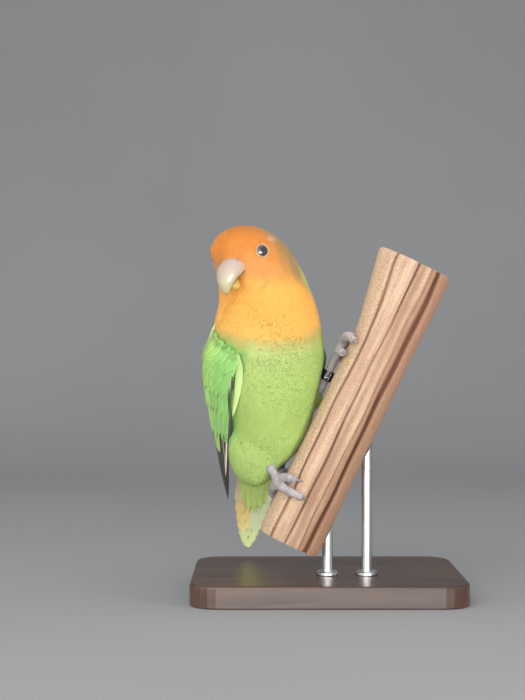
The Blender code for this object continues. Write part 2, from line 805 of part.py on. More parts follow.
def make_perch():
    angles = perch_angles()
    rings = []
    steps = 14
    for i in range(steps + 1):
        along = PERCH_LENGTH * i / steps
        fork = max(0.0, (along - PERCH_FORK_START) / (PERCH_LENGTH - PERCH_FORK_START)) ** 1.2
        centre = np.array(PERCH_FOOT) + PERCH_ALONG * along
        ring = []
        for angle in angles:
            right, near = perch_outline(angle)
            # Weathering makes the branch waver a little along its length.
            wander = 0.982 + 0.009 * math.sin(along / 17.0 + 2.0 * angle) + 0.009 * math.sin(along / 9.0)
            swell = PERCH_FORK_SWELL * fork * max(0.0, -math.cos(angle)) ** 1.5
            ring.append(centre + (PERCH_RIGHT * right + PERCH_NEAR * near) * wander - PERCH_RIGHT * swell)
        rings.append(ring)
    return add_object("perch", *loft(rings), "branch")


# Legs, feet and claws

Toe = namedtuple("Toe", "name angles alongs")


def tube(path, radii, sides=8, flat_ends=True):
    """A closed round tube along a path, with a radius at each of its points."""
    path = [np.asarray(p, float) for p in path]
    rings = []
    hint = np.array((0.0, 1.0, 0.0))
    for i, (point, radius) in enumerate(zip(path, radii)):
        ahead = path[min(i + 1, len(path) - 1)] - path[max(i - 1, 0)]
        side, up, _ = frame_about(ahead, hint)
        rings.append(circle_ring(point, side, up, radius, sides))
    if flat_ends:
        return loft(rings)
    start = path[0] + unit(path[0] - path[1]) * radii[0] * 0.6
    end = path[-1] + unit(path[-1] - path[-2]) * TOE_END
    return loft(rings, start, end)


# The toes run over the branch: angles round it and distances along it, palm first.
FEET = {
    "right": {
        "palm": (163, 23.6),
        "toes": [
            Toe("inner", (160, 142, 124), (25.4, 27.2, 28.2)),
            Toe("outer", (158, 130, 102), (22.4, 22.3, 22.3)),
            Toe("hind_inner", (172, 192, 212), (24.8, 26.8, 27.8)),
            Toe("hind_outer", (170, 192, 214), (21.2, 17.8, 15.4)),
        ],
        "heel": (-26.4, -17.5, 54.0),
    },
    "left": {
        "palm": (192, 91.5),
        "toes": [
            Toe("inner", (184, 163, 143), (94.2, 97.0, 95.9)),
            Toe("outer", (184, 170, 156), (89.4, 88.8, 88.8)),
            Toe("hind_inner", (200, 218, 236), (93.5, 95.5, 96.0)),
            Toe("hind_outer", (200, 218, 238), (89.5, 87.0, 86.0)),
        ],
        "heel": (-3.7, -5.6, 87.4),
    },
}
PALM_HEIGHT = 2.4
TOE_END = 0.25  # how far a toe's end bulges
PALM_RADII = (2.5, 3.1, 2.1)
STUB_SHARE = 0.72


def toe_path(toe, steps=6):
    path = []
    for i in range(steps + 1):
        t = 2.0 * i / steps
        angle = float(through((0, 1, 2), toe.angles, t))
        along = float(through((0, 1, 2), toe.alongs, t))
        height = TOE_RADIUS + GAP + 0.15 + 0.25 * math.sin(math.pi * t / 2)
        path.append(perch_point(math.radians(angle), along, height))
    return path


def make_foot(side):
    foot = FEET[side]
    angle, along = foot["palm"]
    palm = perch_point(math.radians(angle), along, PALM_HEIGHT + GAP)
    out = unit(palm - perch_point(math.radians(angle), along))
    heel = np.array(foot["heel"])
    shin = unit(palm - heel)
    reach = float(np.linalg.norm(palm - heel))
    pieces = [ball(palm, PALM_RADII, frame_about(out, PERCH_ALONG), 6, 10)]
    pieces.append(tube([heel + shin * (reach * STUB_SHARE), palm], [TARSUS_RADIUS, TARSUS_RADIUS]))
    for toe in foot["toes"]:
        path = [palm] + toe_path(toe)
        # Each joint of a toe swells a little where its pad is.
        radii = [TOE_TIP_RADIUS] + [
            TOE_RADIUS + (TOE_TIP_RADIUS - TOE_RADIUS) * i / (len(path) - 2) + 0.12 * math.cos(math.pi * i)
            for i in range(len(path) - 1)
        ]
        pieces.append(tube(path, radii, 8, False))
    union(f"foot_{side}", pieces, "foot")
    end = heel + shin * (reach * STUB_SHARE - GAP)
    middle = heel + shin * (reach * 0.4)
    radii = [TARSUS_RADIUS + 0.25, TARSUS_RADIUS - 0.1, TARSUS_RADIUS]
    add_object(f"tarsus_{side}", *tube([heel, middle, end], radii, 10), "foot")
    for toe in foot["toes"]:
        make_claw(f"claw_{side}_{toe.name}", toe)
    return heel, shin, reach


def make_claw(name, toe):
    path = toe_path(toe)
    ahead = unit(path[-1] - path[-2])
    base = path[-1] + ahead * (TOE_END + GAP)
    angle, along = math.radians(toe.angles[-1]), toe.alongs[-1]
    inward = unit(perch_point(angle, along) - path[-1])
    points, radii = [], []
    for i in range(5):
        t = i / 5
        # The claw arcs down towards the wood and stops just short of it.
        points.append(base + ahead * CLAW_LENGTH * 0.8 * t + inward * (1.6 * t * t - 0.3))
        radii.append(CLAW_RADIUS * (1 - t) ** 0.7 + 0.08)
    rings = []
    side, up, _ = frame_about(ahead, inward)
    for point, radius in zip(points, radii):
        rings.append(circle_ring(point, side, up, radius, 6))
    tip = base + ahead * CLAW_LENGTH * 0.8 + inward * 1.3
    add_object(name, *loft(rings, None, tip), "claw")


THIGHS = {
    "thigh_right": ((-32.8, -13.0, 57.5), (0.12, -0.10, -1.0), (10.0, 9.6, 13.0)),
    "thigh_left": ((-9.2, -3.8, 84.0), (0.86, -0.05, 0.30), (6.4, 6.0, 8.0)),
}


def leg_socket(tarsus):
    """The room that a tarsus needs in the plumage it comes out of."""
    heel, shin, reach = tarsus
    return tube([heel - shin * GAP, heel + shin * reach], [TARSUS_RADIUS + 0.3 + GAP] * 2, 12)


def make_thigh(name, tarsus):
    centre, direction, radii = THIGHS[name]
    shape = ball(centre, radii, frame_about(direction), 8, 14)
    thigh = add_object(name, *shape, "green")
    body = body_part(NECK_BASE, VENT_BOTTOM, GAP)
    boolean(thigh, add_object("body", *body, "green"), "DIFFERENCE")
    heel, shin, reach = tarsus
    boolean(thigh, add_object("socket", *leg_socket(tarsus), "green"), "DIFFERENCE")
    palm_room = tuple(r + GAP for r in PALM_RADII)
    out = frame_about(heel + shin * reach - body_axis(float(heel[2])), PERCH_ALONG)
    room = ball(heel + shin * reach, [max(palm_room)] * 3, out)
    boolean(thigh, add_object("palm_room", *room, "green"), "DIFFERENCE")
    return thigh


def make_leg_ring(tarsus):
    """A closed band that sits loose round the left leg."""
    heel, shin, reach = tarsus
    centre = heel + shin * reach * RING_PLACE
    side, up, axis = frame_about(shin)
    sides = 20
    inner, outer = RING_BORE_RADIUS, RING_BORE_RADIUS + RING_WALL
    section = ((inner, -0.5), (outer, -0.5), (outer, 0.5), (inner, 0.5))
    points, faces = [], []
    for k in range(sides):
        turn = 2 * math.pi * k / sides
        out = side * math.cos(turn) + up * math.sin(turn)
        for radius, place in section:
            points.append(centre + out * radius + axis * RING_LENGTH * place)
        for j in range(4):
            a, b = 4 * k + j, 4 * k + (j + 1) % 4
            c = 4 * ((k + 1) % sides)
            faces.append((a, b, c + (j + 1) % 4, c + j))
    return add_object("leg_ring", points, faces, "leg_ring")


def clear_leg_ring(plumage, tarsus):
    """A shallow dent in the flank, where the ring lies close to it."""
    heel, shin, reach = tarsus
    centre = heel + shin * reach * RING_PLACE
    half = shin * (RING_LENGTH / 2 + GAP)
    room = tube([centre - half, centre + half], [RING_BORE_RADIUS + RING_WALL + GAP] * 2, 16)
    boolean(plumage, add_object("ring_room", *room, "green"), "DIFFERENCE")


# Stand

def make_base():
    corners = []
    for cx, cy, start in ((1, 1, 0), (-1, 1, 90), (-1, -1, 180), (1, -1, 270)):
        for step in range(6):
            turn = math.radians(start + 90 * step / 5)
            corners.append((cx, cy, math.cos(turn), math.sin(turn)))

    def ring(z, inset):
        radius = BASE_CORNER - inset
        return [
            (
                cx * (BASE_WIDTH / 2 - BASE_CORNER) + c * radius,
                cy * (BASE_DEPTH / 2 - BASE_CORNER) + s * radius,
                z,
            )
            for cx, cy, c, s in corners
        ]

    rings = [
        ring(-DATUM, 0.6),
        ring(0.6 - DATUM, 0.0),
        ring(BASE_TOP - BASE_BEVEL, 0.0),
        ring(BASE_TOP - BASE_BEVEL * 0.3, BASE_BEVEL * 0.3),
        ring(BASE_TOP, BASE_BEVEL),
    ]
    return add_object("stand_base", *loft(rings), "stand_wood")


def make_rods():
    """Two upright rods from the base up to the underside of the perch, which they meet face to face."""
    for name, (x, y, top) in ROD_PLACES.items():
        profile = (
            (FLANGE_RADIUS, BASE_TOP + GAP),
            (FLANGE_RADIUS, BASE_TOP + GAP + FLANGE_HEIGHT * 0.7),
            (FLANGE_RADIUS - 0.6, BASE_TOP + GAP + FLANGE_HEIGHT),
            (ROD_RADIUS, BASE_TOP + GAP + FLANGE_HEIGHT),
            (ROD_RADIUS, top),
        )
        rings = []
        for radius, z in profile:
            centre = np.array((x, y, z))
            rings.append(circle_ring(centre, np.array((1, 0, 0)), np.array((0, 1, 0)), radius, 20))
        rod = add_object(name, *loft(rings), "stand_steel")
        # A block shaped like the branch, a gap's width larger, trims the rod's top.
        block = []
        for along in (-10.0, PERCH_LENGTH + 10.0):
            block.append([perch_point(math.radians(10 * k), along, GAP) for k in range(36)])
        boolean(rod, add_object("trim", *loft(block), "stand_steel"), "DIFFERENCE")


def main():
    clear_scene()
    make_head()
    make_eyes()
    make_bill()
    make_neck_and_torso()
    for wing in WING_GUIDES:
        make_wing(wing)
    make_tail()
    make_perch()
    legs = {side: make_foot(side) for side in FEET}
    make_thigh("thigh_right", legs["right"])
    make_thigh("thigh_left", legs["left"])
    make_leg_ring(legs["left"])
    torso = bpy.data.objects["torso"]
    clear_leg_ring(torso, legs["left"])
    clear_leg_ring(bpy.data.objects["thigh_left"], legs["left"])
    for leg in legs.values():
        boolean(torso, add_object("socket", *leg_socket(leg), "green"), "DIFFERENCE")
    make_base()
    make_rods()


main()
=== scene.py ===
import math
from itertools import product

import bpy
import numpy as np
from mathutils import Matrix, Vector
from mathutils.bvhtree import BVHTree


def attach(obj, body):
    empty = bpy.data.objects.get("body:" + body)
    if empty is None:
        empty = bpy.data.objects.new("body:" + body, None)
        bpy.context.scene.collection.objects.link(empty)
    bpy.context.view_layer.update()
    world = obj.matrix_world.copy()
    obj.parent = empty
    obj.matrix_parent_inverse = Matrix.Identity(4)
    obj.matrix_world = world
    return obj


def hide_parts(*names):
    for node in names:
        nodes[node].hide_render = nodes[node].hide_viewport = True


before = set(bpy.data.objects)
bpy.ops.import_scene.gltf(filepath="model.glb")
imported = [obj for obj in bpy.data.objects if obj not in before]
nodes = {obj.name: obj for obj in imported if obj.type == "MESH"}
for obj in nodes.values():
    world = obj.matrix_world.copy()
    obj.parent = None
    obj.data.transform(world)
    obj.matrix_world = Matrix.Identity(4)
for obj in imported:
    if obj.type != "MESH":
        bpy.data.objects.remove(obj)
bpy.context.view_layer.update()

scene = bpy.context.scene
mm = 0.001
datum = 6.0  # heights in the tables below are drawn from this many mm above the floor
chance = np.random.default_rng(11)


# Small helpers

def deselectAll():
    if bpy.context.mode != "OBJECT":
        bpy.ops.object.mode_set(mode="OBJECT")
    bpy.ops.object.select_all(action="DESELECT")


def pick(*objs):
    deselectAll()
    for obj in objs:
        obj.select_set(True)
    bpy.context.view_layer.objects.active = objs[0]


def settle(obj, name=None):
    # the finished piece sits at the origin, unturned and unscaled
    pick(obj)
    bpy.ops.object.transform_apply(location=True, rotation=True, scale=True)
    if name:
        obj.name = name
        obj.data.name = name
    return obj


def inEditMode(obj, *steps):
    # each step is an operator and its settings, run on the whole mesh
    pick(obj)
    bpy.ops.object.mode_set(mode="EDIT")
    for step, settings in steps:
        bpy.ops.mesh.select_all(action="SELECT")
        step(**settings)
    bpy.ops.object.mode_set(mode="OBJECT")


def smoothByAngle(obj, degrees=35):
    pick(obj)
    bpy.ops.object.shade_smooth_by_angle(angle=math.radians(degrees))


def addModifier(obj, kind, **settings):
    made = obj.modifiers.new(kind.title(), kind)
    for key, value in settings.items():
        setattr(made, key, value)
    pick(obj)
    bpy.ops.object.modifier_apply(modifier=made.name)


def joinAll(name, objs):
    pick(*objs)
    if len(objs) > 1:
        bpy.ops.object.join()
    obj = bpy.context.view_layer.objects.active
    return settle(obj, name)


def meshFrom(name, points, faces, smoothAngle=50):
    # points in mm above the drawing's datum
    points = np.asarray(points, float) + (0, 0, datum)
    mesh = bpy.data.meshes.new(name)
    mesh.from_pydata((points * mm).tolist(), [], [tuple(f) for f in faces])
    mesh.shade_smooth()
    mesh.set_sharp_from_angle(angle=math.radians(smoothAngle))
    obj = bpy.data.objects.new(name, mesh)
    scene.collection.objects.link(obj)
    return obj


def inScene(point):
    # a point in mm above the datum, as the scene's metres
    return Vector(np.asarray(point) + (0, 0, datum)) * mm


def ball(segments, rings, radius=1.0, location=(0, 0, 0), rotation=(0, 0, 0)):
    deselectAll()
    bpy.ops.mesh.primitive_uv_sphere_add(segments=segments, ring_count=rings, radius=radius,
                                         location=location, rotation=rotation)
    return bpy.context.active_object


def hoop(radius, tube, segments, sides, location, rotation):
    deselectAll()
    bpy.ops.mesh.primitive_torus_add(major_radius=radius * mm, minor_radius=tube * mm, major_segments=segments,
                                     minor_segments=sides, location=location, rotation=rotation)
    return settle(bpy.context.active_object)


def paintPoints(mesh, tints):
    # stores one colour per point, which the plumage's materials read
    tints = np.reshape(tints, (-1, 3))
    colour = mesh.attributes.new("tint", "FLOAT_COLOR", "POINT")
    colour.data.foreach_set("color", np.concatenate([tints, np.ones((len(tints), 1))], 1).reshape(-1))


def treeOf(*objs):
    points, faces = [], []
    for obj in objs:
        first = len(points)
        points += [Vector(p) for p in vertexArrays(obj)[0]]
        faces += [tuple(v + first for v in p.vertices) for p in obj.data.polygons]
    return BVHTree.FromPolygons(points, faces)


def vertexArrays(obj):
    # points in mm above the datum, and normals
    count = len(obj.data.vertices)
    co, no = np.empty(count * 3), np.empty(count * 3)
    obj.data.vertices.foreach_get("co", co)
    obj.data.vertices.foreach_get("normal", no)
    return co.reshape(-1, 3) / mm - (0, 0, datum), no.reshape(-1, 3)


def finish(obj, paint, slot, *replaced):
    obj.data.materials.clear()
    obj.data.materials.append(paint.material)
    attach(obj, "root")
    if replaced:
        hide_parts(*replaced)
    return obj


def linear(*rgb):
    # an sRGB colour in steps of 255 as light
    c = np.asarray(rgb, float) / 255
    return np.where(c <= 0.04045, c / 12.92, ((c + 0.055) / 1.055) ** 2.4)


def smoothStep(value, low=0.0, high=1.0):
    t = np.clip((np.asarray(value, float) - low) / (high - low), 0, 1)
    return t * t * (3 - 2 * t)


def through(knots, values, at):
    # a smooth curve through the knots, read at many places
    knots, values = np.asarray(knots, float), np.asarray(values, float)
    at = np.clip(np.asarray(at, float), knots[0], knots[-1])
    ones = (1,) * (values.ndim - 1)
    steps = np.diff(knots)
    slopes = np.diff(values, axis=0) / steps.reshape((-1,) + ones)
    tangents = np.concatenate([slopes[:1], (slopes[1:] + slopes[:-1]) / 2, slopes[-1:]])
    i = np.clip(np.searchsorted(knots, at, side="right") - 1, 0, len(steps) - 1)
    h = steps[i].reshape(at.shape + ones)
    t = (at - knots[i]).reshape(h.shape) / h
    return (
        (2 * t**3 - 3 * t**2 + 1) * values[i]
        + (t**3 - 2 * t**2 + t) * h * tangents[i]
        + (-2 * t**3 + 3 * t**2) * values[i + 1]
        + (t**3 - t**2) * h * tangents[i + 1]
    )


def unit(v):
    v = np.asarray(v, float)
    return v / np.maximum(np.linalg.norm(v, axis=-1, keepdims=True), 1e-9)


# Shader maths

class Wire:
    # one output socket: sums and products of wires and numbers add Math nodes
    def __init__(self, paint, socket):
        self.paint = paint
        self.socket = socket

    def maths(self, operation, first, second=0.0):
        return self.paint.node("ShaderNodeMath", {"operation": operation}, {0: first, 1: second})

    def __add__(self, other):
        return self.maths("ADD", self, other)

    def __radd__(self, other):
        return self.maths("ADD", other, self)

    def __sub__(self, other):
        return self.maths("SUBTRACT", self, other)

    def __rsub__(self, other):
        return self.maths("SUBTRACT", other, self)

    def __mul__(self, other):
        return self.maths("MULTIPLY", self, other)

    def __rmul__(self, other):
        return self.maths("MULTIPLY", other, self)

    def above(self, low, high):
        # 0 under low, 1 over high, smooth between
        return self.paint.node("ShaderNodeMapRange", {"interpolation_type": "SMOOTHSTEP"},
                               {"Value": self, "From Min": low, "From Max": high})


class Paint:
    # one material with a Principled shader; keywords are its inputs, with _ for a space
    def __init__(self, name, **fixed):
        self.material = bpy.data.materials.new(name)
        self.material.use_nodes = True
        self.tree = self.material.node_tree
        self.shader = self.tree.nodes["Principled BSDF"]
        for key, value in fixed.items():
            self.shader.inputs[key.replace("_", " ")].default_value = value

    def node(self, kind, settings=None, inputs=None, output=0):
        made = self.tree.nodes.new(kind)
        for key, value in (settings or {}).items():
            setattr(made, key, value)
        for key, value in (inputs or {}).items():
            self.feed(made.inputs[key], value)
        return Wire(self, made.outputs[output])

    def feed(self, socket, value):
        if isinstance(value, Wire):
            self.tree.links.new(value.socket, socket)
        elif socket.type == "RGBA":
            socket.default_value = (*value, 1)
        else:
            socket.default_value = value

    def set(self, name, value):
        self.feed(self.shader.inputs[name], value)

    def mix(self, factor, a, b):
        return self.node("ShaderNodeMix", {"data_type": "RGBA"}, {0: factor, 6: a, 7: b}, 2)

    def shade(self, colour, factor):
        # a colour made darker or lighter by a wire of numbers
        grey = self.node("ShaderNodeCombineColor", None, {0: factor, 1: factor, 2: factor})
        kind = {"data_type": "RGBA", "blend_type": "MULTIPLY"}
        return self.node("ShaderNodeMix", kind, {0: 1.0, 6: colour, 7: grey}, 2)

    def attribute(self, name, output=0):
        return self.node("ShaderNodeAttribute", {"attribute_name": name}, None, output)

    def stretch(self, vector, scale):
        return self.node("ShaderNodeMapping", None, {"Vector": vector, "Scale": scale})

    def place(self, scale=(1, 1, 1)):
        # the piece's own coordinates, in metres
        return self.stretch(self.node("ShaderNodeTexCoord", None, None, 3), scale)

    def noise(self, vector, scale, detail=3.0, roughness=0.5, distortion=0.0):
        return self.node("ShaderNodeTexNoise", None, {"Vector": vector, "Scale": scale, "Detail": detail,
                                                      "Roughness": roughness, "Distortion": distortion})

    def bump(self, height, strength, distance):
        inputs = {"Strength": strength, "Distance": distance, "Height": height}
        return self.node("ShaderNodeBump", None, inputs)


# Camera, floor and light

view = {"place": (-0.0297, -0.628, 0.1127), "lens": 69.3, "clip": 0.02}
sky = {"colour": (0.93, 0.96, 1.0, 1), "strength": 0.56}
# the floor is flat as far back as "flat", then curves up into the backdrop, in metres
backdrop = {
    "flat": 0.6, "bend": 0.5, "size": 6, "steps": 60, "dark": (0.33, 0.33, 0.333), "pale": (0.39, 0.39, 0.393),
}
light = {
    # name: place, aimed at, width, height, watts, colour
    "key": ((-0.34, -0.70, 0.50), (-0.03, 0, 0.09), 0.9, 0.9, 4.3, (1.0, 0.985, 0.96)),
    "fill": ((0.62, -0.60, 0.12), (-0.03, 0, 0.08), 0.6, 0.6, 0.7, (1.0, 0.99, 0.97)),
    "top": ((0.0, 0.0, 0.85), (-0.02, 0, 0.10), 0.6, 0.6, 1.0, (1, 1, 1)),
    "low": ((-0.10, -0.85, 0.06), (-0.03, 0, 0.06), 0.7, 0.25, 2.3, (1, 1, 1)),
    "side": ((-0.62, -0.36, 0.04), (-0.04, 0, 0.08), 0.5, 0.4, 1.6, (1, 1, 1)),
    "right": ((0.46, -0.36, 0.05), (-0.03, -0.02, 0.155), 0.21, 0.19, 2.4, (1, 1, 1)),
    "catch": ((0.03, -0.68, 0.13), (-0.03, -0.02, 0.155), 0.40, 0.26, 6.0, (1, 1, 1)),
}


def makeStage():
    cameraData = bpy.data.cameras.new("camera")
    camera = bpy.data.objects.new("camera", cameraData)
    scene.collection.objects.link(camera)
    camera.location = view["place"]
    camera.rotation_euler = (math.radians(90), 0, 0)
    cameraData.lens = view["lens"]
    cameraData.clip_start = view["clip"]
    scene.camera = camera
    for name, (place, aim, width, height, watts, colour) in light.items():
        data = bpy.data.lights.new(name, "AREA")
        data.shape = "RECTANGLE"
        data.size, data.size_y = width, height
        data.energy = watts
        data.color = colour
        lamp = bpy.data.objects.new(name, data)
        scene.collection.objects.link(lamp)
        lamp.location = place
        # one lamp is only seen in the eye and other glossy things, its neighbour only lights
        lamp.visible_diffuse = name != "catch"
        lamp.visible_glossy = name != "right"
        lamp.rotation_euler = (Vector(aim) - Vector(place)).to_track_quat("-Z", "Y").to_euler()
    world = bpy.data.worlds.new("studio")
    world.use_nodes = True
    glow = world.node_tree.nodes["Background"]
    glow.inputs["Color"].default_value = sky["colour"]
    glow.inputs["Strength"].default_value = sky["strength"]
    scene.world = world
    scene.view_settings.view_transform = "Standard"
    deselectAll()
    bpy.ops.mesh.primitive_grid_add(x_subdivisions=1, y_subdivisions=backdrop["steps"], size=backdrop["size"],
                                    location=(0, 0, 0))
    floor = bpy.context.active_object
    flat, bend = backdrop["flat"], backdrop["bend"]
    for v in floor.data.vertices:
        back = max(0.0, v.co.y - flat)
        turn = min(back / bend, math.pi / 2)
        rise = back - bend * turn
        v.co.y = min(v.co.y, flat) + bend * math.sin(turn)
        v.co.z = bend * (1 - math.cos(turn)) + rise
    settle(floor, "floor")
    floor.data.shade_smooth()
    pale = Paint("paleFloor", Roughness=0.9, Specular_IOR_Level=0.15)
    cloud = pale.noise(pale.place(), 3.0, 4.0)
    pale.set("Base Color", pale.mix(cloud, backdrop["dark"], backdrop["pale"]))
    floor.data.materials.append(pale.material)


makeStage()
print("camera, floor and light are in")


# The bird's form: one stack of level slices, as z, x, y, halfWidth, front, back, yaw, taper

slices = np.array([
    (46.0, -33.2, 6.0, 18.8, 28.0, 28.0, 15, 0.0),
    (52.0, -33.0, 5.0, 18.8, 28.0, 28.0, 15, 0.0),
    (58.0, -30.7, 1.6, 18.9, 26.0, 26.0, 15, 0.0),
    (65.0, -28.5, -1.0, 18.9, 24.4, 24.4, 15, 0.0),
    (74.0, -27.4, -4.0, 19.8, 22.6, 23.6, 15, 0.0),
    (84.0, -27.0, -7.2, 22.0, 22.0, 26.6, 15, 0.0),
    (93.0, -26.8, -8.0, 23.8, 23.0, 26.8, 15, 0.0),
    (104.0, -26.1, -8.0, 25.0, 23.6, 26.4, 15, 0.0),
    (111.0, -26.3, -8.0, 24.8, 22.8, 26.0, 15, 0.0),
    (120.0, -26.9, -8.0, 23.8, 20.4, 25.2, 8, 0.0),
    (127.0, -27.4, -8.0, 22.6, 18.0, 24.4, -4, 0.04),
    (134.0, -29.4, -8.0, 21.2, 16.4, 23.8, -20, 0.08),
    (141.0, -32.2, -8.3, 20.0, 16.4, 23.0, -30, 0.16),
    (148.0, -35.5, -8.6, 18.9, 18.2, 22.6, -32, 0.22),
    (152.5, -36.9, -9.0, 18.9, 19.2, 22.2, -32, 0.22),
    (157.0, -37.5, -9.8, 18.8, 19.2, 21.4, -32, 0.20),
    (164.0, -38.3, -11.0, 18.4, 18.2, 20.0, -32, 0.20),
])
bird = {
    "crownTop": 163.8, "crownStart": 146.0,
    "ventBottom": 46.0, "ventStart": 84.0,
    "place": (-28.5, -8.0), "yaw": math.radians(15),
    "headPlace": (-34.6, -8.6), "headYaw": math.radians(-32),
    "eyeHeight": 151.4, "eyeAngle": math.radians(60), "eyeball": 4.0, "eyeOpening": 2.75,
    "coatDepth": 0.5,
}


def sliceAt(z):
    return through(slices[:, 0], slices[:, 1:], z)


def roundOver(z):
    # the share of its width that the body still has at this height, as crown and vent close
    z = np.asarray(z, float)
    up = np.clip((z - bird["crownStart"]) / (bird["crownTop"] - bird["crownStart"]), 0, 1)
    down = np.clip((bird["ventStart"] - z) / (bird["ventStart"] - bird["ventBottom"]), 0, 1)
    return np.sqrt(np.maximum(0, 1 - up**2)) * np.sqrt(np.maximum(0, 1 - down**2))


def bodyPoint(z, angle, grow=0.0):
    # a point on the body's outline; angle 0 is straight ahead, positive to the bird's left
    z, angle = np.broadcast_arrays(np.asarray(z, float), np.asarray(angle, float))
    s = sliceAt(z)
    share = roundOver(z)
    c, w = np.cos(angle), np.sin(angle)
    length = np.where(c > 0, s[..., 3], s[..., 4]) * share + grow
    left = (s[..., 2] * share * (1 - s[..., 6] * c) + grow) * w
    forward = length * c
    yaw = np.radians(s[..., 5])
    x = s[..., 0] + left * np.cos(yaw) + forward * np.sin(yaw)
    y = s[..., 1] + left * np.sin(yaw) - forward * np.cos(yaw)
    return np.stack([x, y, z], -1)


def inAxes(left, forward, z, place, yaw):
    left, forward, z = np.broadcast_arrays(*(np.asarray(v, float) for v in (left, forward, z)))
    x = place[0] + left * math.cos(yaw) + forward * math.sin(yaw)
    y = place[1] + left * math.sin(yaw) - forward * math.cos(yaw)
    return np.stack([x, y, z], -1)


def headPoint(forward, left, z):
    return inAxes(left, forward, z, bird["headPlace"], bird["headYaw"])


def birdPoint(left, forward, z):
    return inAxes(left, forward, z, bird["place"], bird["yaw"])


def roundBody(points):
    # degrees round the body's own axis: from the camera's side, and from the breast, where 180 is the spine
    s = sliceAt(points[..., 2])
    around = np.degrees(np.arctan2(points[..., 0] - s[..., 0], -(points[..., 1] - s[..., 1])))
    return around, np.abs((around - 15 + 180) % 360 - 180)


def eyeFrame(side):
    # the lid's middle and the way the eye looks; side is 1 for the left eye and -1 for the right
    angle, z = side * bird["eyeAngle"], bird["eyeHeight"]
    here = bodyPoint(z, angle)
    ahead = bodyPoint(z, side * (bird["eyeAngle"] - 0.1)) - here
    above = bodyPoint(z + 1.0, angle) - here
    return here, unit(np.cross(above, ahead)) * side


def tubeFaces(rings, count):
    faces = []
    for r in range(rings - 1):
        for k in range(count):
            a, b = r * count + k, r * count + (k + 1) % count
            faces.append((a, b, b + count, a + count))
    return faces


def loft(rings, start, end):
    # a closed form through rings of equal length, brought to a point at both ends
    rings = np.asarray(rings, float)
    n, count = rings.shape[:2]
    points = np.concatenate([rings.reshape(-1, 3), [start, end]])
    faces = tubeFaces(n, count)
    faces += [(k, n * count, (k + 1) % count) for k in range(count)]
    last = (n - 1) * count
    faces += [(last + k, last + (k + 1) % count, n * count + 1) for k in range(count)]
    return points, faces


def sweep(path, radii, sides=16):
    # a closed round form along a path
    path, radii = np.asarray(path, float), np.asarray(radii, float)
    run = unit(np.gradient(path, axis=0))
    hint = np.array((0.0, 1.0, 0.0))
    across = unit(np.cross(hint, run))
    up = np.cross(run, across)
    turns = np.linspace(0, 2 * math.pi, sides, endpoint=False)
    c, s = np.cos(turns)[None, :, None], np.sin(turns)[None, :, None]
    rings = path[:, None] + (across[:, None] * c + up[:, None] * s) * radii[:, None, None]
    start = path[0] - run[0] * radii[0] * 0.5
    end = path[-1] + run[-1] * radii[-1] * 0.5
    return loft(rings, start, end)


def closeUp(obj):
    # merges doubles and turns all faces outwards
    inEditMode(obj, (bpy.ops.mesh.remove_doubles, {"threshold": 0.01 * mm}),
               (bpy.ops.mesh.normals_make_consistent, {"inside": False}))


# Where each colour of the plumage lies

orangeFace = {
    "forehead": linear(222, 134, 48), "crown": linear(206, 122, 22), "cheek": linear(224, 150, 76),
    "throat": linear(246, 176, 76), "breast": linear(242, 182, 84),
    "edge": linear(202, 168, 88), "nape": linear(160, 132, 78), "brow": linear(232, 196, 178),
}
greenBody = {
    "chest": linear(185, 202, 118), "belly": linear(173, 200, 107), "flank": linear(168, 196, 100),
    "vent": linear(156, 182, 96), "collar": linear(186, 194, 92), "back": linear(112, 160, 62),
    "rump": linear(64, 146, 196), "shoulder": linear(138, 190, 98),
}


def blend(a, b, share):
    share = np.asarray(share)[..., None]
    return a * (1 - share) + b * share


def blendAll(tone, *layers):
    for over, share in layers:
        tone = blend(tone, over, share)
    return tone


# by height z: the way the face looks, and how many degrees the orange reaches from there
faceTurn = ([46, 127, 141, 170], [-5, -5, -30, -32])
orangeReach = ([105, 112, 120, 127, 135, 143, 152, 166], [86, 89, 90, 91, 99, 110, 138, 150])
bibEdge = {"height": 109.5, "sag": 5.5, "sagAt": 75, "softness": 5.0}
browSpot = {"x": -26.3, "z": 157.0, "squash": 1.2, "radius": 1.7, "strength": 0.5}


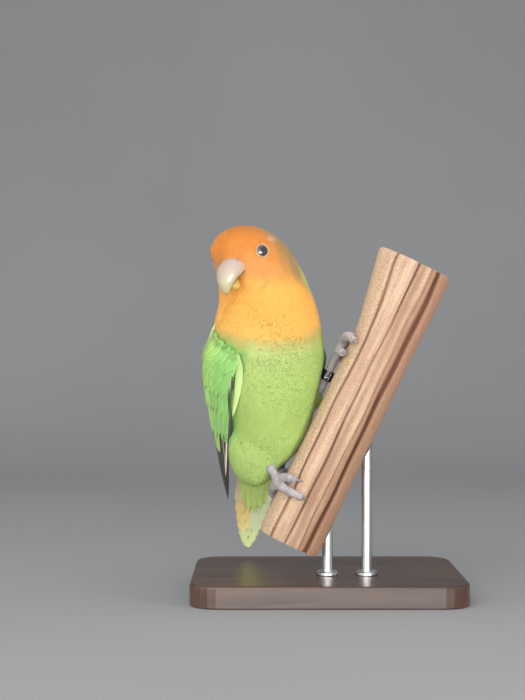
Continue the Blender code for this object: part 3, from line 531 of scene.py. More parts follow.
def plumageAt(points, nearWing=None):
    # points in mm above the datum; gives the plumage's colour as light
    p = np.asarray(points, float)
    x, y, z = p[..., 0], p[..., 1], p[..., 2]
    around, back = roundBody(p)
    across = np.abs((around - through(*faceTurn, z) + 180) % 360 - 180)
    wander = 1.6 * np.sin(x * 0.9 + y * 0.5) + 1.2 * np.sin(x * 0.37 + z * 0.5)
    edge = bibEdge["height"] + bibEdge["sag"] * (across / bibEdge["sagAt"]) ** 2
    limit = through(*orangeReach, z)
    orange = smoothStep(z - edge + wander * 0.5, -bibEdge["softness"], bibEdge["softness"])
    orange = orange * (1 - smoothStep(across - limit + wander * 1.5, -9, 9))
    spot = np.hypot(x - browSpot["x"], (z - browSpot["z"]) * browSpot["squash"]) / browSpot["radius"]
    face = blendAll(
        orangeFace["edge"],
        (orangeFace["breast"], smoothStep(z - edge, 0, 6)),
        (orangeFace["throat"], smoothStep(z, 118, 131)),
        (orangeFace["cheek"], smoothStep(z, 133, 144)),
        (orangeFace["forehead"], smoothStep(z + wander, 143, 154)),
        (orangeFace["crown"], smoothStep(z, 157, 163)),
        (orangeFace["nape"], smoothStep(across + wander * 2, 66, 104) * smoothStep(z, 130, 142) * 0.85),
        # a small pale patch over the left eye
        (orangeFace["brow"], browSpot["strength"] * np.exp(-(spot**2)) * (y < -12)),
    )
    green = blendAll(
        greenBody["belly"],
        (greenBody["chest"], smoothStep(z, 92, 112)),
        # the flank on the bird's left turns a darker green: painted shade where the body turns away from the light
        (greenBody["flank"], smoothStep(around, 35, 75) * 0.9),
        (greenBody["vent"], smoothStep(-z, -74, -54)),
        (greenBody["back"], smoothStep(back, 95, 135)),
        (greenBody["collar"], smoothStep(z, 118, 132) * (1 - smoothStep(across - limit, 8, 40))),
        (greenBody["rump"], smoothStep(back, 120, 150) * smoothStep(-z, -84, -74)),
    )
    if nearWing is not None:
        green = blend(green, greenBody["shoulder"], nearWing)
    return blend(green, face, orange)


# Plumage paint: the tint comes from each feather, the fine barbs from its own map

def plumagePaint(name, roughness=0.6, barbs=0.12):
    paint = Paint(name, Roughness=roughness, Sheen_Weight=0.15, Sheen_Roughness=0.5, Specular_IOR_Level=0.25)
    where = paint.node("ShaderNodeUVMap", {"uv_map": "Barbs"})
    streak = paint.noise(paint.stretch(where, (5.0, 0.9, 1)), 4.0, 3.0)
    fleck = paint.noise(paint.place(), 850.0, 2.0)
    strength = 1.0 - barbs * 0.5 + streak * barbs + (fleck - 0.5) * 0.05
    paint.set("Base Color", paint.shade(paint.attribute("tint"), strength))
    paint.set("Normal", paint.bump(streak, 0.35, 0.00025))
    return paint


coatPaint = plumagePaint("plumage")
vanePaint = plumagePaint("flightFeathers", roughness=0.5, barbs=0.22)


# Feather blades, modelled once and laid many times

bladeRows = {
    "contour": ((0.0, 0.4), (0.3, 0.9), (0.6, 1.0), (0.82, 0.86), (0.94, 0.54), (1.0, 0.16)),
    "plume": ((0.0, 0.4), (0.3, 0.85), (0.62, 0.95), (0.84, 0.74), (0.95, 0.42), (1.0, 0.12)),
}


def modelBlade(rows):
    # a three-sided bar along Y, cut across and squeezed row by row into a leaf with a raised shaft
    deselectAll()
    bpy.ops.mesh.primitive_cylinder_add(vertices=3, radius=1, depth=1, location=(0, 0.5, 0),
                                        rotation=(math.radians(-90), 0, 0))
    obj = settle(bpy.context.active_object)
    inEditMode(obj, *((bpy.ops.mesh.bisect, {"plane_co": (0, along, 0), "plane_no": (0, 1, 0)})
                      for along, _ in rows[1:-1]))
    widths = {round(along, 3): width for along, width in rows}
    for v in obj.data.vertices:
        width = widths[round(v.co.y, 3)]
        top = v.co.z > 0.9 or (abs(v.co.x) < 0.1 and v.co.z > 0)
        v.co.x = 0 if top else math.copysign(width, v.co.x)
        v.co.z = 0.5 * width if top else -0.5 * width
    inEditMode(obj, (bpy.ops.mesh.quads_convert_to_tris, {}),
               (bpy.ops.mesh.normals_make_consistent, {"inside": False}))
    return readBlade(obj)


def modelFlightFeather(columns, rows, profile, roundness, thickness=0.24):
    # a long grid narrowed row by row, arched over the shaft and given its thickness
    deselectAll()
    bpy.ops.mesh.primitive_grid_add(x_subdivisions=columns, y_subdivisions=rows, size=2)
    obj = bpy.context.active_object
    for v in obj.data.vertices:
        across, along = v.co.x, (v.co.y + 1) / 2
        v.co.y = along - roundness * across * across * along**3
        v.co.x = across * float(np.interp(along, *zip(*profile)))
        v.co.z = 0.5 * (1 - abs(across) ** 1.6)
    inEditMode(obj, (bpy.ops.mesh.extrude_region_move, {"TRANSFORM_OT_translate": {"value": (0, 0, -thickness)}}),
               (bpy.ops.mesh.normals_make_consistent, {"inside": False}), (bpy.ops.mesh.quads_convert_to_tris, {}))
    return readBlade(obj)


def readBlade(obj):
    # keeps the template's points and faces, and which of them are on its upper side
    points = np.array([v.co for v in obj.data.vertices])
    faces = np.array([p.vertices[:] for p in obj.data.polygons])
    facing = np.array([p.normal.z for p in obj.data.polygons])
    under = np.array([v.normal.z < 0 for v in obj.data.vertices])
    bpy.data.objects.remove(obj)
    return {"points": points, "faces": faces, "upper": facing > -0.05, "under": under}


flightShapes = {
    # name: columns, rows, half widths as (along, width), roundness of the tip
    "flight": (4, 16, ((0, .35), (.08, .8), (.2, 1), (.6, 1), (.8, .9), (.92, .68), (.97, .5), (1, .3)), 0.03),
    "covert": (4, 7, ((0, .5), (.15, .9), (.4, 1), (.75, 1), (.9, .82), (1, .45)), 0.13),
    "rectrix": (6, 22, ((0, .5), (.15, .9), (.4, 1), (.9, 1), (.96, .86), (.985, .7), (1, .5)), 0.035),
    "leaf": (4, 12, ((0, .3), (.15, .8), (.3, 1), (.55, .9), (.8, .6), (.95, .3), (1, .15)), 0.02),
}
blades = {name: modelBlade(rows) for name, rows in bladeRows.items()}
for name, shape in flightShapes.items():
    blades[name] = modelFlightFeather(*shape)


def spreadOver(values, knotPlaces, at):
    # values (n, k, 3) at the knots, read at the template's places along the blade: (n, v, 3)
    at = np.clip(at, 0, 1)
    i = np.clip(np.searchsorted(knotPlaces, at, side="right") - 1, 0, len(knotPlaces) - 2)
    t = ((at - knotPlaces[i]) / (knotPlaces[i + 1] - knotPlaces[i]))[None, :, None]
    return values[:, i] * (1 - t) + values[:, i + 1] * t


def layBlades(name, blade, centres, normals, sides, halfWidths, thick, tints, spots, patch=0.003, bow=0.3):
    # centres, normals and sides are (n, k, 3), halfWidths and thick (n,), tints (n, 3) or (n, v, 3), spots (n, 2)
    blade = blades[blade]
    n, k = centres.shape[:2]
    v = len(blade["points"])
    knots = np.linspace(0, 1, k)
    across, along, height = blade["points"].T
    nrm = unit(spreadOver(normals, knots, along))
    side = unit(spreadOver(sides, knots, along))
    points = (spreadOver(centres, knots, along) + side * (across[None] * halfWidths[:, None])[..., None]
              + nrm * (height[None] * thick[:, None])[..., None])
    faces = (blade["faces"][None] + (np.arange(n) * v)[:, None, None]).reshape(-1, 3)
    mesh = bpy.data.meshes.new(name)
    mesh.vertices.add(n * v)
    mesh.vertices.foreach_set("co", ((points + (0, 0, datum)) * mm).reshape(-1))
    mesh.loops.add(len(faces) * 3)
    mesh.loops.foreach_set("vertex_index", faces.reshape(-1))
    mesh.polygons.add(len(faces))
    mesh.polygons.foreach_set("loop_start", np.arange(0, len(faces) * 3, 3))
    mesh.update(calc_edges=True)
    mesh.shade_smooth()
    # soft shading: the upper faces take the lie's own normals, gently bowed over the shaft
    over = unit(nrm + side * (across[None] * bow)[..., None])
    ends = blade["faces"].reshape(-1)
    corners = np.where(np.repeat(blade["upper"], 3)[None, :, None], over[:, ends], -nrm[:, ends])
    mesh.normals_split_custom_set(corners.reshape(-1, 3))
    tints = np.asarray(tints, float)
    if tints.ndim == 2:
        tints = np.repeat(tints[:, None], v, 1)
    paintPoints(mesh, tints)
    loops = faces.reshape(-1)
    local = np.tile(np.stack([across * 0.5 + 0.5, along], -1), (n, 1))
    drift = np.repeat(chance.random((n, 2)) * 7, v, 0)
    barbs = mesh.uv_layers.new(name="Barbs")
    barbs.data.foreach_set("uv", (local + drift)[loops].reshape(-1))
    under = np.where(height < 0, 0.94, 1.0)
    corner = np.stack([across * under * 0.5 + 0.5, along], -1)
    bake = spots[:, None, :] + corner[None] * patch
    bakeMap = mesh.uv_layers.new(name="OFBake")
    bakeMap.data.foreach_set("uv", bake.reshape(-1, 2)[loops].reshape(-1))
    obj = bpy.data.objects.new(name, mesh)
    scene.collection.objects.link(obj)
    return obj


print("feather blades are modelled")


# Skin: the flesh under the coat, as one closed form

thighs = {
    # name: centre, direction of its long axis, radii
    "thigh_right": ((-34.2, -9.0, 60.0), (0.08, -0.26, -1.0), (11.4, 10.0, 16.4)),
    "thigh_left": ((-9.2, -3.8, 84.0), (0.86, -0.05, 0.30), (6.4, 6.0, 8.0)),
}
skinForm = {"sides": 90, "ringEvery": 1.5, "voxel": 0.85, "smoothing": 40, "creaseSmoothing": 140}
# where the right thigh runs into the belly, as places to smooth, and how far from them
crease = {"places": ((-36, -25, 70), (-30, -26, 68), (-25, -25, 64), (-21, -24, 58)), "reach": 8.0}
softForms = (
    # axes, place, reach and swell of the lores, brow and cheeks, shoulders, flank, vent and chin
    (headPoint, (9.0, 14.0, 140.0), 8.0, 0.7), (headPoint, (9.0, -14.0, 140.0), 8.0, 0.7),
    (headPoint, (15.0, 8.5, 151.0), 4.0, 0.6), (headPoint, (14.6, -12.4, 151.0), 3.6, 1.3),
    (headPoint, (11.0, 11.0, 157.0), 5.0, 0.6), (headPoint, (11.0, -11.0, 157.0), 5.0, 0.6),
    (birdPoint, (-24.0, -1.0, 118.0), 8.0, 1.6), (birdPoint, (24.0, -1.0, 118.0), 8.0, 0.4),
    (birdPoint, (18.0, 4.0, 68.0), 12.0, 1.3), (birdPoint, (4.0, 9.0, 57.0), 9.0, 2.4),
    (headPoint, (14.5, 6.0, 137.0), 4.5, 2.4), (headPoint, (14.5, -6.0, 137.0), 4.5, 2.4),
    (headPoint, (16.0, 0.0, 130.5), 4.5, 1.2),
)


def bodyFlesh(depth):
    # rings down the body, closer together where crown and vent round over
    top = bird["crownStart"] + (bird["crownTop"] - bird["crownStart"]) * np.cos(np.radians(np.arange(4, 84, 4)))
    low = bird["ventStart"] - (bird["ventStart"] - bird["ventBottom"]) * np.cos(np.radians(np.arange(76, 3, -4)))
    heights = np.concatenate([top, np.arange(147.0, 75.5, -skinForm["ringEvery"]), low])
    turns = np.linspace(0, 2 * math.pi, skinForm["sides"], endpoint=False)
    rings = bodyPoint(heights[:, None], turns[None], -depth)
    crown, vent = bodyPoint(bird["crownTop"], 0.0), bodyPoint(bird["ventBottom"], 0.0)
    crown[2] -= depth
    vent[2] += depth
    rings[..., 2] = np.clip(rings[..., 2], vent[2] + 0.1, crown[2] - 0.1)
    body = meshFrom("skin", *loft(rings, crown, vent))
    closeUp(body)
    return body


def makeSkin():
    depth = bird["coatDepth"]
    parts = [bodyFlesh(depth)]
    for name, (centre, direction, radii) in thighs.items():
        thigh = ball(40, 24)
        thigh.scale = [(r - depth) * mm for r in radii]
        thigh.rotation_euler = Vector(direction).to_track_quat("Z", "Y").to_euler()
        thigh.location = Vector(centre) * mm + Vector((0, 0, datum * mm))
        parts.append(settle(thigh, name + "Flesh"))
    skin = joinAll("skin", parts)
    addModifier(skin, "REMESH", mode="VOXEL", voxel_size=skinForm["voxel"] * mm)
    addModifier(skin, "SMOOTH", factor=0.5, iterations=skinForm["smoothing"])
    points, _ = vertexArrays(skin)
    away = np.min([np.linalg.norm(points - place, axis=1) for place in crease["places"]], axis=0)
    group = skin.vertex_groups.new(name="crease")
    for i in np.flatnonzero(away < 2 * crease["reach"]):
        group.add([int(i)], float(np.exp(-((away[i] / crease["reach"]) ** 2))), "REPLACE")
    addModifier(skin, "SMOOTH", factor=0.5, iterations=skinForm["creaseSmoothing"], vertex_group="crease")
    points, normals = vertexArrays(skin)
    swell = np.zeros(len(points))
    for axes, place, reach, amount in softForms:
        away = np.linalg.norm(points - axes(*place), axis=1)
        swell += amount * np.exp(-((away / reach) ** 2))
    moved = points + normals * swell[:, None] + (0, 0, datum)
    skin.data.vertices.foreach_set("co", (moved * mm).reshape(-1))
    skin.data.update()
    skin.data.shade_smooth()
    paintPoints(skin.data, plumageAt(points))
    return skin


skin = makeSkin()
skinPaint = Paint("skin", Roughness=0.8, Specular_IOR_Level=0.2)
down = skinPaint.noise(skinPaint.place((1, 1, 0.35)), 1400.0, 4.0)
skinPaint.set("Base Color", skinPaint.shade(skinPaint.attribute("tint"), 0.95 + down * 0.2))
skinPaint.set("Normal", skinPaint.bump(down, 0.2, 0.0002))
finish(skin, skinPaint, "green", "head", "neck", "torso", "thigh_left", "thigh_right")
print("skin:", len(skin.data.polygons), "faces")


# Wings: each folded wing is a curved sheet between three guides, as left, forward, z in the bird's axes

wingGuides = {
    "wing_right": {
        "front": [(-17.0, 18.5, 104), (-19.2, 11.0, 88), (-17.0, 2.0, 71), (-12.2, -16, 54), (-9.3, -31, 34.8)],
        "middle": [(-27.2, 0, 114), (-26.6, -9.8, 96), (-22.0, -16, 76), (-16.0, -23, 57), (-9.9, -34, 35.0)],
        "back": [(-9.0, -23, 120), (-7.5, -28.0, 100), (-6.5, -30.5, 79), (-7.6, -33, 58), (-8.7, -36.5, 35.6)],
    },
    "wing_left": {
        "front": [(26.8, 1, 104), (26.4, -3, 88), (22.6, -11, 71), (17.0, -23, 54), (14.2, -32.5, 35.4)],
        "middle": [(25.5, -12, 113), (24.4, -17.5, 96), (20.0, -22, 76), (16.0, -28, 57), (13.8, -35.5, 35.6)],
        "back": [(9.5, -25, 120), (8.5, -28.5, 100), (9.0, -31.0, 79), (12.0, -34.4, 58), (13.2, -38.4, 36.0)],
    },
}
wingForm = {
    "coreEnd": 0.62, "coreThickness": 0.9, "coreMost": 6.0, "gap": 0.5, "shoulderRise": 0.12,
    "primaries": 8, "secondaries": 12, "scapulars": (5, 5),
}


def offBody(points, distance, onlyOutwards=True):
    # moves points on each level to the given distance off the body's own outline
    z = points[..., 2]
    s = sliceAt(z)
    out = points[..., :2] - s[..., :2]
    yaw = np.radians(s[..., 5])
    left = out[..., 0] * np.cos(yaw) + out[..., 1] * np.sin(yaw)
    forward = out[..., 0] * np.sin(yaw) - out[..., 1] * np.cos(yaw)
    share = roundOver(z)
    length = np.where(forward > 0, s[..., 3], s[..., 4]) * share + distance
    width = s[..., 2] * share + distance
    reach = np.maximum(np.hypot(left / width, forward / length), 1e-6)
    moved = np.concatenate([s[..., :2] + out / reach[..., None], z[..., None]], -1)
    keep = z <= bird["ventBottom"] + 1
    if onlyOutwards:
        keep = keep | (reach >= 1)
    return np.where(keep[..., None], points, moved)


class WingSheet:
    # the folded wing's outer face on a fine grid: across 0 is its front edge, along 0 its bend
    def __init__(self, name):
        self.side = 1 if name == "wing_left" else -1
        self.across = np.linspace(-0.06, 1.06, 57)
        self.along = np.linspace(-0.02, 1.04, 107)
        a, v = self.across[:, None, None], self.along
        places = (0.0, 0.25, 0.5, 0.75, 1.0)
        step = 0.02  # how far the guides' ends are read back for their direction
        rows = {}
        for key, guide in wingGuides[name].items():
            # past its ends a guide runs on straight
            ahead = (through(places, guide, 1.0) - through(places, guide, 1.0 - step)) / step
            start = (through(places, guide, step) - through(places, guide, 0.0)) / step
            line = through(places, guide, np.clip(v, 0, 1))
            rows[key] = (line + ahead * np.maximum(v - 1, 0)[:, None] + start * np.minimum(v, 0)[:, None])[None]
        local = (rows["front"] * (1 - a) * (1 - 2 * a) + rows["middle"] * 4 * a * (1 - a)
                 + rows["back"] * a * (2 * a - 1))
        off = wingForm["gap"] + wingForm["coreThickness"]  # the sheet's height over the body
        opened = offBody(birdPoint(local[..., 0], local[..., 1], local[..., 2]), off)
        close = offBody(opened, off, False)
        rise = smoothStep(v / wingForm["shoulderRise"])[None, :, None]
        self.points = close + (opened - close) * rise
        back, downward = (unit(np.gradient(self.points, axis=axis)) for axis in (0, 1))
        self.normals = unit(np.cross(back, downward)) * -self.side

    def read(self, grid, across, along):
        i, j = (np.clip((np.asarray(at) - ticks[0]) / (ticks[1] - ticks[0]), 0, len(ticks) - 1.001)
                for at, ticks in ((across, self.across), (along, self.along)))
        i0, j0 = i.astype(int), j.astype(int)
        s, t = (i - i0)[..., None], (j - j0)[..., None]
        return (grid[i0, j0] * (1 - s) * (1 - t) + grid[i0 + 1, j0] * s * (1 - t)
                + grid[i0, j0 + 1] * (1 - s) * t + grid[i0 + 1, j0 + 1] * s * t)

    def lay(self, roots, tips, lifts, knots=9, bow=0.0):
        # centre line, normals and sides of vanes that run from root to tip, both (n, 2) as across, along
        roots, tips = np.asarray(roots, float), np.asarray(tips, float)
        lifts = np.asarray(lifts, float)
        t = np.linspace(0, 1, knots)[None, :, None]
        place = roots[:, None] * (1 - t) + tips[:, None] * t
        across = place[..., 0] + bow * np.sin(math.pi * t[..., 0])
        along = place[..., 1]
        centres = self.read(self.points, across, along)
        normals = unit(self.read(self.normals, across, along))
        rise = lifts[:, :1] + (lifts[:, 1:] - lifts[:, :1]) * t[..., 0] ** 0.7
        centres = centres + normals * rise[..., None]
        run = unit(np.gradient(centres, axis=1))
        return centres, normals, unit(np.cross(run, normals))


def gridQuads(rows, columns):
    # the numbers of a grid's points, and its faces row by row
    ids = np.arange(rows * columns).reshape(rows, columns)
    return ids, np.stack([ids[:-1, :-1], ids[1:, :-1], ids[1:, 1:], ids[:-1, 1:]], -1).reshape(-1, 4)


def makeWingCore(name, sheet):
    # the closed flesh under the coverts, between the sheet and the body
    across = np.linspace(0.02, 0.98, 30)
    along = np.linspace(0.0, wingForm["coreEnd"], 34)
    a, v = np.meshgrid(across, along, indexing="ij")
    outer = sheet.read(sheet.points, a, v)
    axis = sliceAt(outer[..., 2])[..., :2]
    inward = np.concatenate([axis - outer[..., :2], np.zeros(a.shape + (1,))], -1)
    most = wingForm["coreMost"] * (1 - v / wingForm["coreEnd"]) * smoothStep(v / wingForm["shoulderRise"])
    inner = offBody(outer + unit(inward) * (most + wingForm["coreThickness"])[..., None], wingForm["gap"])
    ids, quads = gridQuads(*a.shape)
    faces = []
    for quad in quads:
        faces.append(quad)
        faces.append(quad[::-1] + ids.size)
    border = list(ids[:, 0]) + list(ids[-1, 1:]) + list(ids[-2::-1, -1]) + list(ids[0, -2:0:-1])
    for p, q in zip(border, border[1:] + border[:1]):
        faces.append((p, q, q + ids.size, p + ids.size))
    core = meshFrom(name + "Core", np.concatenate([outer.reshape(-1, 3), inner.reshape(-1, 3)]), faces)
    closeUp(core)
    core.data.shade_smooth()
    # the flesh takes the coverts' green at 0.6, painted shade where it shows between the feathers
    paintPoints(core.data, np.tile(wingColours["covert"] * 0.6, (len(core.data.vertices), 1)))
    return core


wingColours = {
    "covert": linear(170, 218, 108), "emerald": linear(146, 206, 114), "lime": linear(188, 218, 128),
    "secondary": linear(186, 236, 122), "dark": linear(58, 58, 52), "primary": linear(72, 74, 66),
    "cream": linear(226, 218, 194), "scapular": linear(150, 184, 98), "edge": linear(214, 226, 178),
    "slate": linear(92, 104, 84), "blush": linear(186, 172, 150), "leaf": linear(160, 192, 114),
}
wingRows = {
    # name: rows, feathers in a row, across, first root, last root, length, halfWidth, lift
    "lesser": (7, 18, (0.01, 0.98), -0.01, 0.20, 0.125, 1.4, (0.0, 0.8)),
    "median": (1, 17, (0.03, 0.97), 0.245, 0.245, 0.19, 1.7, (-0.1, 0.8)),
    "greater": (1, 16, (0.04, 0.97), 0.33, 0.33, 0.28, 1.9, (-0.2, 0.75)),
}


def gridSpots(count):
    # one cell of the bake's map for each feather
    side = math.ceil(math.sqrt(count))
    cells = np.arange(count)
    return np.stack([cells % side, cells // side], -1) / side + 0.1 / side, 0.8 / side


def featherTones(blade, bases, tipTone, edgeTone, edgeFrom=0.7, jitter=0.05):
    # per-point colours: each base turns to the tip's tone near its end and to the edge's tone along its sides
    across, along, _ = np.abs(blades[blade]["points"]).T
    shaft = 1 - 0.12 * np.exp(-((across / 0.12) ** 2))
    tone = blendAll(np.asarray(bases)[:, None], (tipTone, (smoothStep(along, 0.6, 1.0) * 0.5)[None]),
                    (edgeTone, (smoothStep(across, edgeFrom, 1.0) * 0.55)[None]))
    return tone * shaft[None, :, None] * (1 + chance.normal(0, jitter, (len(bases), 1, 1)))


def wingTone(across):
    # emerald towards the front edge, then covert green with a limier band along it
    band = smoothStep(across, 0.36, 0.5) * (1 - smoothStep(across, 0.55, 0.7))
    return blendAll(wingColours["emerald"], (wingColours["covert"], smoothStep(across, 0.12, 0.34)),
                    (wingColours["lime"], band * 0.5), (wingColours["covert"], smoothStep(across, 0.62, 0.8) * 0.8))


def spread(first, last, share):
    # one row for each share, from the first pair of numbers to the last
    return np.array(first) + (np.array(last) - np.array(first)) * np.asarray(share)[:, None]


def primaryTones(side, count):
    # charcoal vanes, greyer and slate on their outer web, the third with a cream inner rim
    across, along = side * blades["flight"]["points"][:, 0], blades["flight"]["points"][:, 1]
    outer = smoothStep(-across, 0.1, 0.5)
    rim = smoothStep(across, 0.8, 0.95) * smoothStep(along, 0.3, 0.45) * (1 - smoothStep(along, 0.78, 0.9))
    tones = [blendAll(
        wingColours["dark"], (wingColours["primary"], 0.5 * outer),
        (wingColours["slate"], outer * (1 - smoothStep(along, 0.45, 0.75)) * min(1, i / 3)),
        (wingColours["cream"] * 0.9, rim * (0.8 if i == 2 else 0.12)),
    ) for i in range(count)]
    return np.array(tones) * (1 + chance.normal(0, 0.05, (count, 1, 1)))


def makeWing(name, sheet):
    made = []

    def lay(label, blade, roots, tips, lifts, halfWidths, tints, thick=0.3, bow=0.0):
        centres, normals, sides = sheet.lay(roots, tips, lifts, bow=bow)
        n = len(centres)
        made.append(layBlades(f"{name}{label}", blade, centres, normals, sides, halfWidths * np.ones(n),
                              np.full(n, thick), tints, *gridSpots(n), bow=0.45))

    # primaries, the longest at the front and lowest
    count = wingForm["primaries"]
    share = np.linspace(0, 1, count)
    roots = spread((0.05, 0.40), (0.33, 0.38), share)
    tips = np.stack([0.22 + 0.34 * share, 1.0 - 0.165 * share**0.9], -1)
    lifts = spread((-0.5, 0.05), (-0.45, 0.18), np.arange(count))
    lay("Primaries", "flight", roots, tips, lifts, np.linspace(1.7, 1.9, count), primaryTones(sheet.side, count),
        bow=-0.02)
    # secondaries and tertials close the wing above them
    count = wingForm["secondaries"]
    share = np.linspace(0, 1, count)
    roots, tips = spread((0.22, 0.44), (0.95, 0.38), share), spread((0.30, 0.71), (0.96, 0.62), share)
    lifts = spread((-0.4, 0.6), (-0.4, 0.65), np.arange(count))
    bases = blend(wingTone(roots[:, 0]), wingColours["secondary"], 0.6)
    tones = featherTones("flight", bases, wingColours["lime"], wingColours["lime"])
    lay("Secondaries", "flight", roots, tips, lifts, 2.2, tones)
    # coverts in tiers, each over the next
    for label, (rows, number, span, first, last, length, wide, lift) in wingRows.items():
        for row in range(rows):
            place = first + (last - first) * row / max(rows - 1, 1)
            across = np.linspace(*span, number) + (0.5 if row % 2 else 0.0) * (span[1] - span[0]) / number
            across = across + chance.normal(0, 0.006, number)
            roots = np.stack([across, place + chance.normal(0, 0.007, number) - 0.02 * across], -1)
            reach = length * (1 - 0.12 * across + chance.normal(0, 0.04, number))
            tips = roots + np.stack([np.full(number, 0.012), reach], -1)
            lifts = np.tile(lift, (number, 1)) + chance.normal(0, 0.04, (number, 1))
            tones = featherTones("covert", wingTone(across), wingColours["covert"], wingColours["lime"])
            lay(f"{label.title()}{row}", "covert", roots, tips, lifts, wide, tones)
    # scapulars hang from the shoulder over the wing's back edge, in a strip with pale rims
    rows, number = wingForm["scapulars"]
    across = np.tile(np.linspace(0.50, 0.97, number), rows) + chance.normal(0, 0.01, rows * number)
    place = np.repeat(np.linspace(-0.02, 0.17, rows), number)
    roots = np.stack([across, place - 0.04 * (across - 0.5)], -1)
    tones = featherTones("covert", np.tile(wingColours["scapular"], (rows * number, 1)), wingColours["scapular"],
                         wingColours["edge"], 0.6)
    lay("Scapulars", "covert", roots, roots + (0.0, 0.17), np.tile((0.4, 1.3), (rows * number, 1)), 1.9, tones, 0.35)
    return made


wingSheets = {name: WingSheet(name) for name in wingGuides}
wingCores = {name: makeWingCore(name, sheet) for name, sheet in wingSheets.items()}
for name, sheet in wingSheets.items():
    for piece in makeWing(name, sheet):
        finish(piece, vanePaint, "wing_green")
    finish(wingCores[name], skinPaint, "wing_green", name)


frontLeaves = {
    # name: path as x, z down the front of the right wing, halfWidth, lift, tone at root and tip
    "mantleLeaf": ([(-48.6, 122.0), (-51.9, 115.5), (-54.3, 108.5), (-55.4, 99.0)], 1.2, (0.5, 0.9), "edge",
                   "scapular"),
    "limeLeaf": ([(-40.6, 104.5), (-40.0, 96.6), (-41.2, 86.0), (-43.2, 76.8)], 1.75, (0.1, 1.2), "leaf", "lime"),
    # shadeLeaf is no feather: a thin dark strip of painted shadow between the wing and the lime leaf
    "shadeLeaf": ([(-42.3, 103.0), (-43.9, 86.0), (-44.2, 70.0), (-44.6, 58.4)], 0.36, (0.2, 0.9), "dark", "dark"),
    "blushLeaf": ([(-44.2, 96.5), (-44.0, 90.5), (-44.2, 84.6)], 0.4, (0.8, 1.2), "blush", "blush"),
    "blackQuill": ([(-44.2, 78.2), (-45.1, 67.2), (-46.2, 56.1)], 0.6, (0.9, 1.1), "dark", "dark"),
    "creamQuill": ([(-45.8, 69.9), (-46.5, 58.4), (-47.2, 46.9)], 0.5, (1.0, 1.1), "cream", "cream"),
}


def makeFrontLeaves():
    # single feathers that show along the wing's front edge, and shadeLeaf, a dark strip of painted shadow in the slot
    # beside the lime leaf, each laid on what lies behind it
    sheet = wingSheets["wing_right"]
    quads = gridQuads(*sheet.points.shape[:2])[1]
    wingTree = BVHTree.FromPolygons([Vector(p) for p in sheet.points.reshape(-1, 3)], quads.tolist())
    bodyTree = treeOf(skin)
    made = []
    for name, (path, wide, lift, rootTone, tipTone) in frontLeaves.items():
        knots = 9
        t = np.linspace(0, 1, knots)
        line = through(np.linspace(0, 1, len(path)), path, t)
        centres = np.empty((knots, 3))
        for k, (x, z) in enumerate(line):
            hits = [tree.ray_cast(Vector((x, -100, z)), Vector((0, 1, 0)))[0] for tree in (wingTree, bodyTree)]
            depths = [hit.y for hit in hits if hit is not None]
            depth = min(depths) if depths else wingTree.find_nearest(Vector((x, -20, z)))[0].y
            centres[k] = (x, depth, z)
        # one smooth bend in depth
        centres[:, 1] = np.polyval(np.polyfit(t, centres[:, 1], 2), t)
        centres[:, 1] -= lift[0] + (lift[1] - lift[0]) * t
        normals = np.tile(unit((-0.25, -1.0, 0.05)), (knots, 1))
        run = unit(np.gradient(centres, axis=0))
        sides = unit(np.cross(run, normals))
        share = smoothStep(blades["leaf"]["points"][:, 1], 0.1, 0.6)
        tone = blend(wingColours[rootTone], wingColours[tipTone], share)
        piece = layBlades(name, "leaf", centres[None], normals[None], sides[None], np.array([wide]),
                          np.array([0.35]), tone[None], np.zeros((1, 2)), 1.0, bow=0.5)
        finish(piece, vanePaint, "wing_green")


makeFrontLeaves()
print("wings are feathered")


# Tail

tail = {
    "root": (3.4, -22.5, 70.0), "tip": (3.0, -46.0, 10.6), "start": 6.0, "feathers": 12, "fan": math.radians(0.26),
    "apart": 0.95, "halfWidth": 3.7, "coverRows": 4, "coverApart": 1.9,
    # the flesh inside: its middle down the tail, and its radii across, up and along
    "coreAt": 13.0, "coreRadii": (6.2, 2.1, 17.5),
}
tailColours = {
    "green": linear(112, 162, 66), "under": linear(212, 222, 176), "yellow": linear(252, 224, 150),
    "cream": linear(250, 228, 192), "orange": linear(232, 150, 72), "lime": linear(222, 234, 164),
    "blue": linear(66, 148, 196), "vent": linear(200, 226, 128),
}


def tailFrame():
    root, tip = birdPoint(*tail["root"]), birdPoint(*tail["tip"])
    along = unit(tip - root)
    across = unit(birdPoint(1, 0, 0) - birdPoint(0, 0, 0))
    across = unit(across - along * np.dot(across, along))
    upper = unit(np.cross(across, along))
    upper = upper if upper[1] > 0 else -upper
    return root, along, across, upper, float(np.linalg.norm(tip - root))


def layTail(label, blade, offsets, turns, start, lengths, width, heights, rise, tints, thick=0.4, facing=1):
    # vanes side by side: offsets across the tail, turns of the fan, and how each lies over the tail's plane
    root, along, across, upper, _ = tailFrame()
    n, knots = len(offsets), 8
    t = np.linspace(0, 1, knots)[None, :, None]
    run = unit(along * np.cos(turns)[:, None] + across * np.sin(turns)[:, None])[:, None]
    centres = (root + across * offsets[:, None])[:, None] + run * (start + lengths[:, None, None] * t)
    centres = centres + upper * (heights[:, None, None] + rise * t)
    # the outer vanes bow round the tail's cross section
    normals = unit(upper * facing + across * (offsets[:, None, None] * 0.05)) * np.ones((1, knots, 1))
    sides = unit(np.cross(run * np.ones((1, knots, 1)), normals))
    return layBlades(f"tail{label}", blade, centres, normals, sides, np.full(n, width), np.full(n, thick), tints,
                     *gridSpots(n))


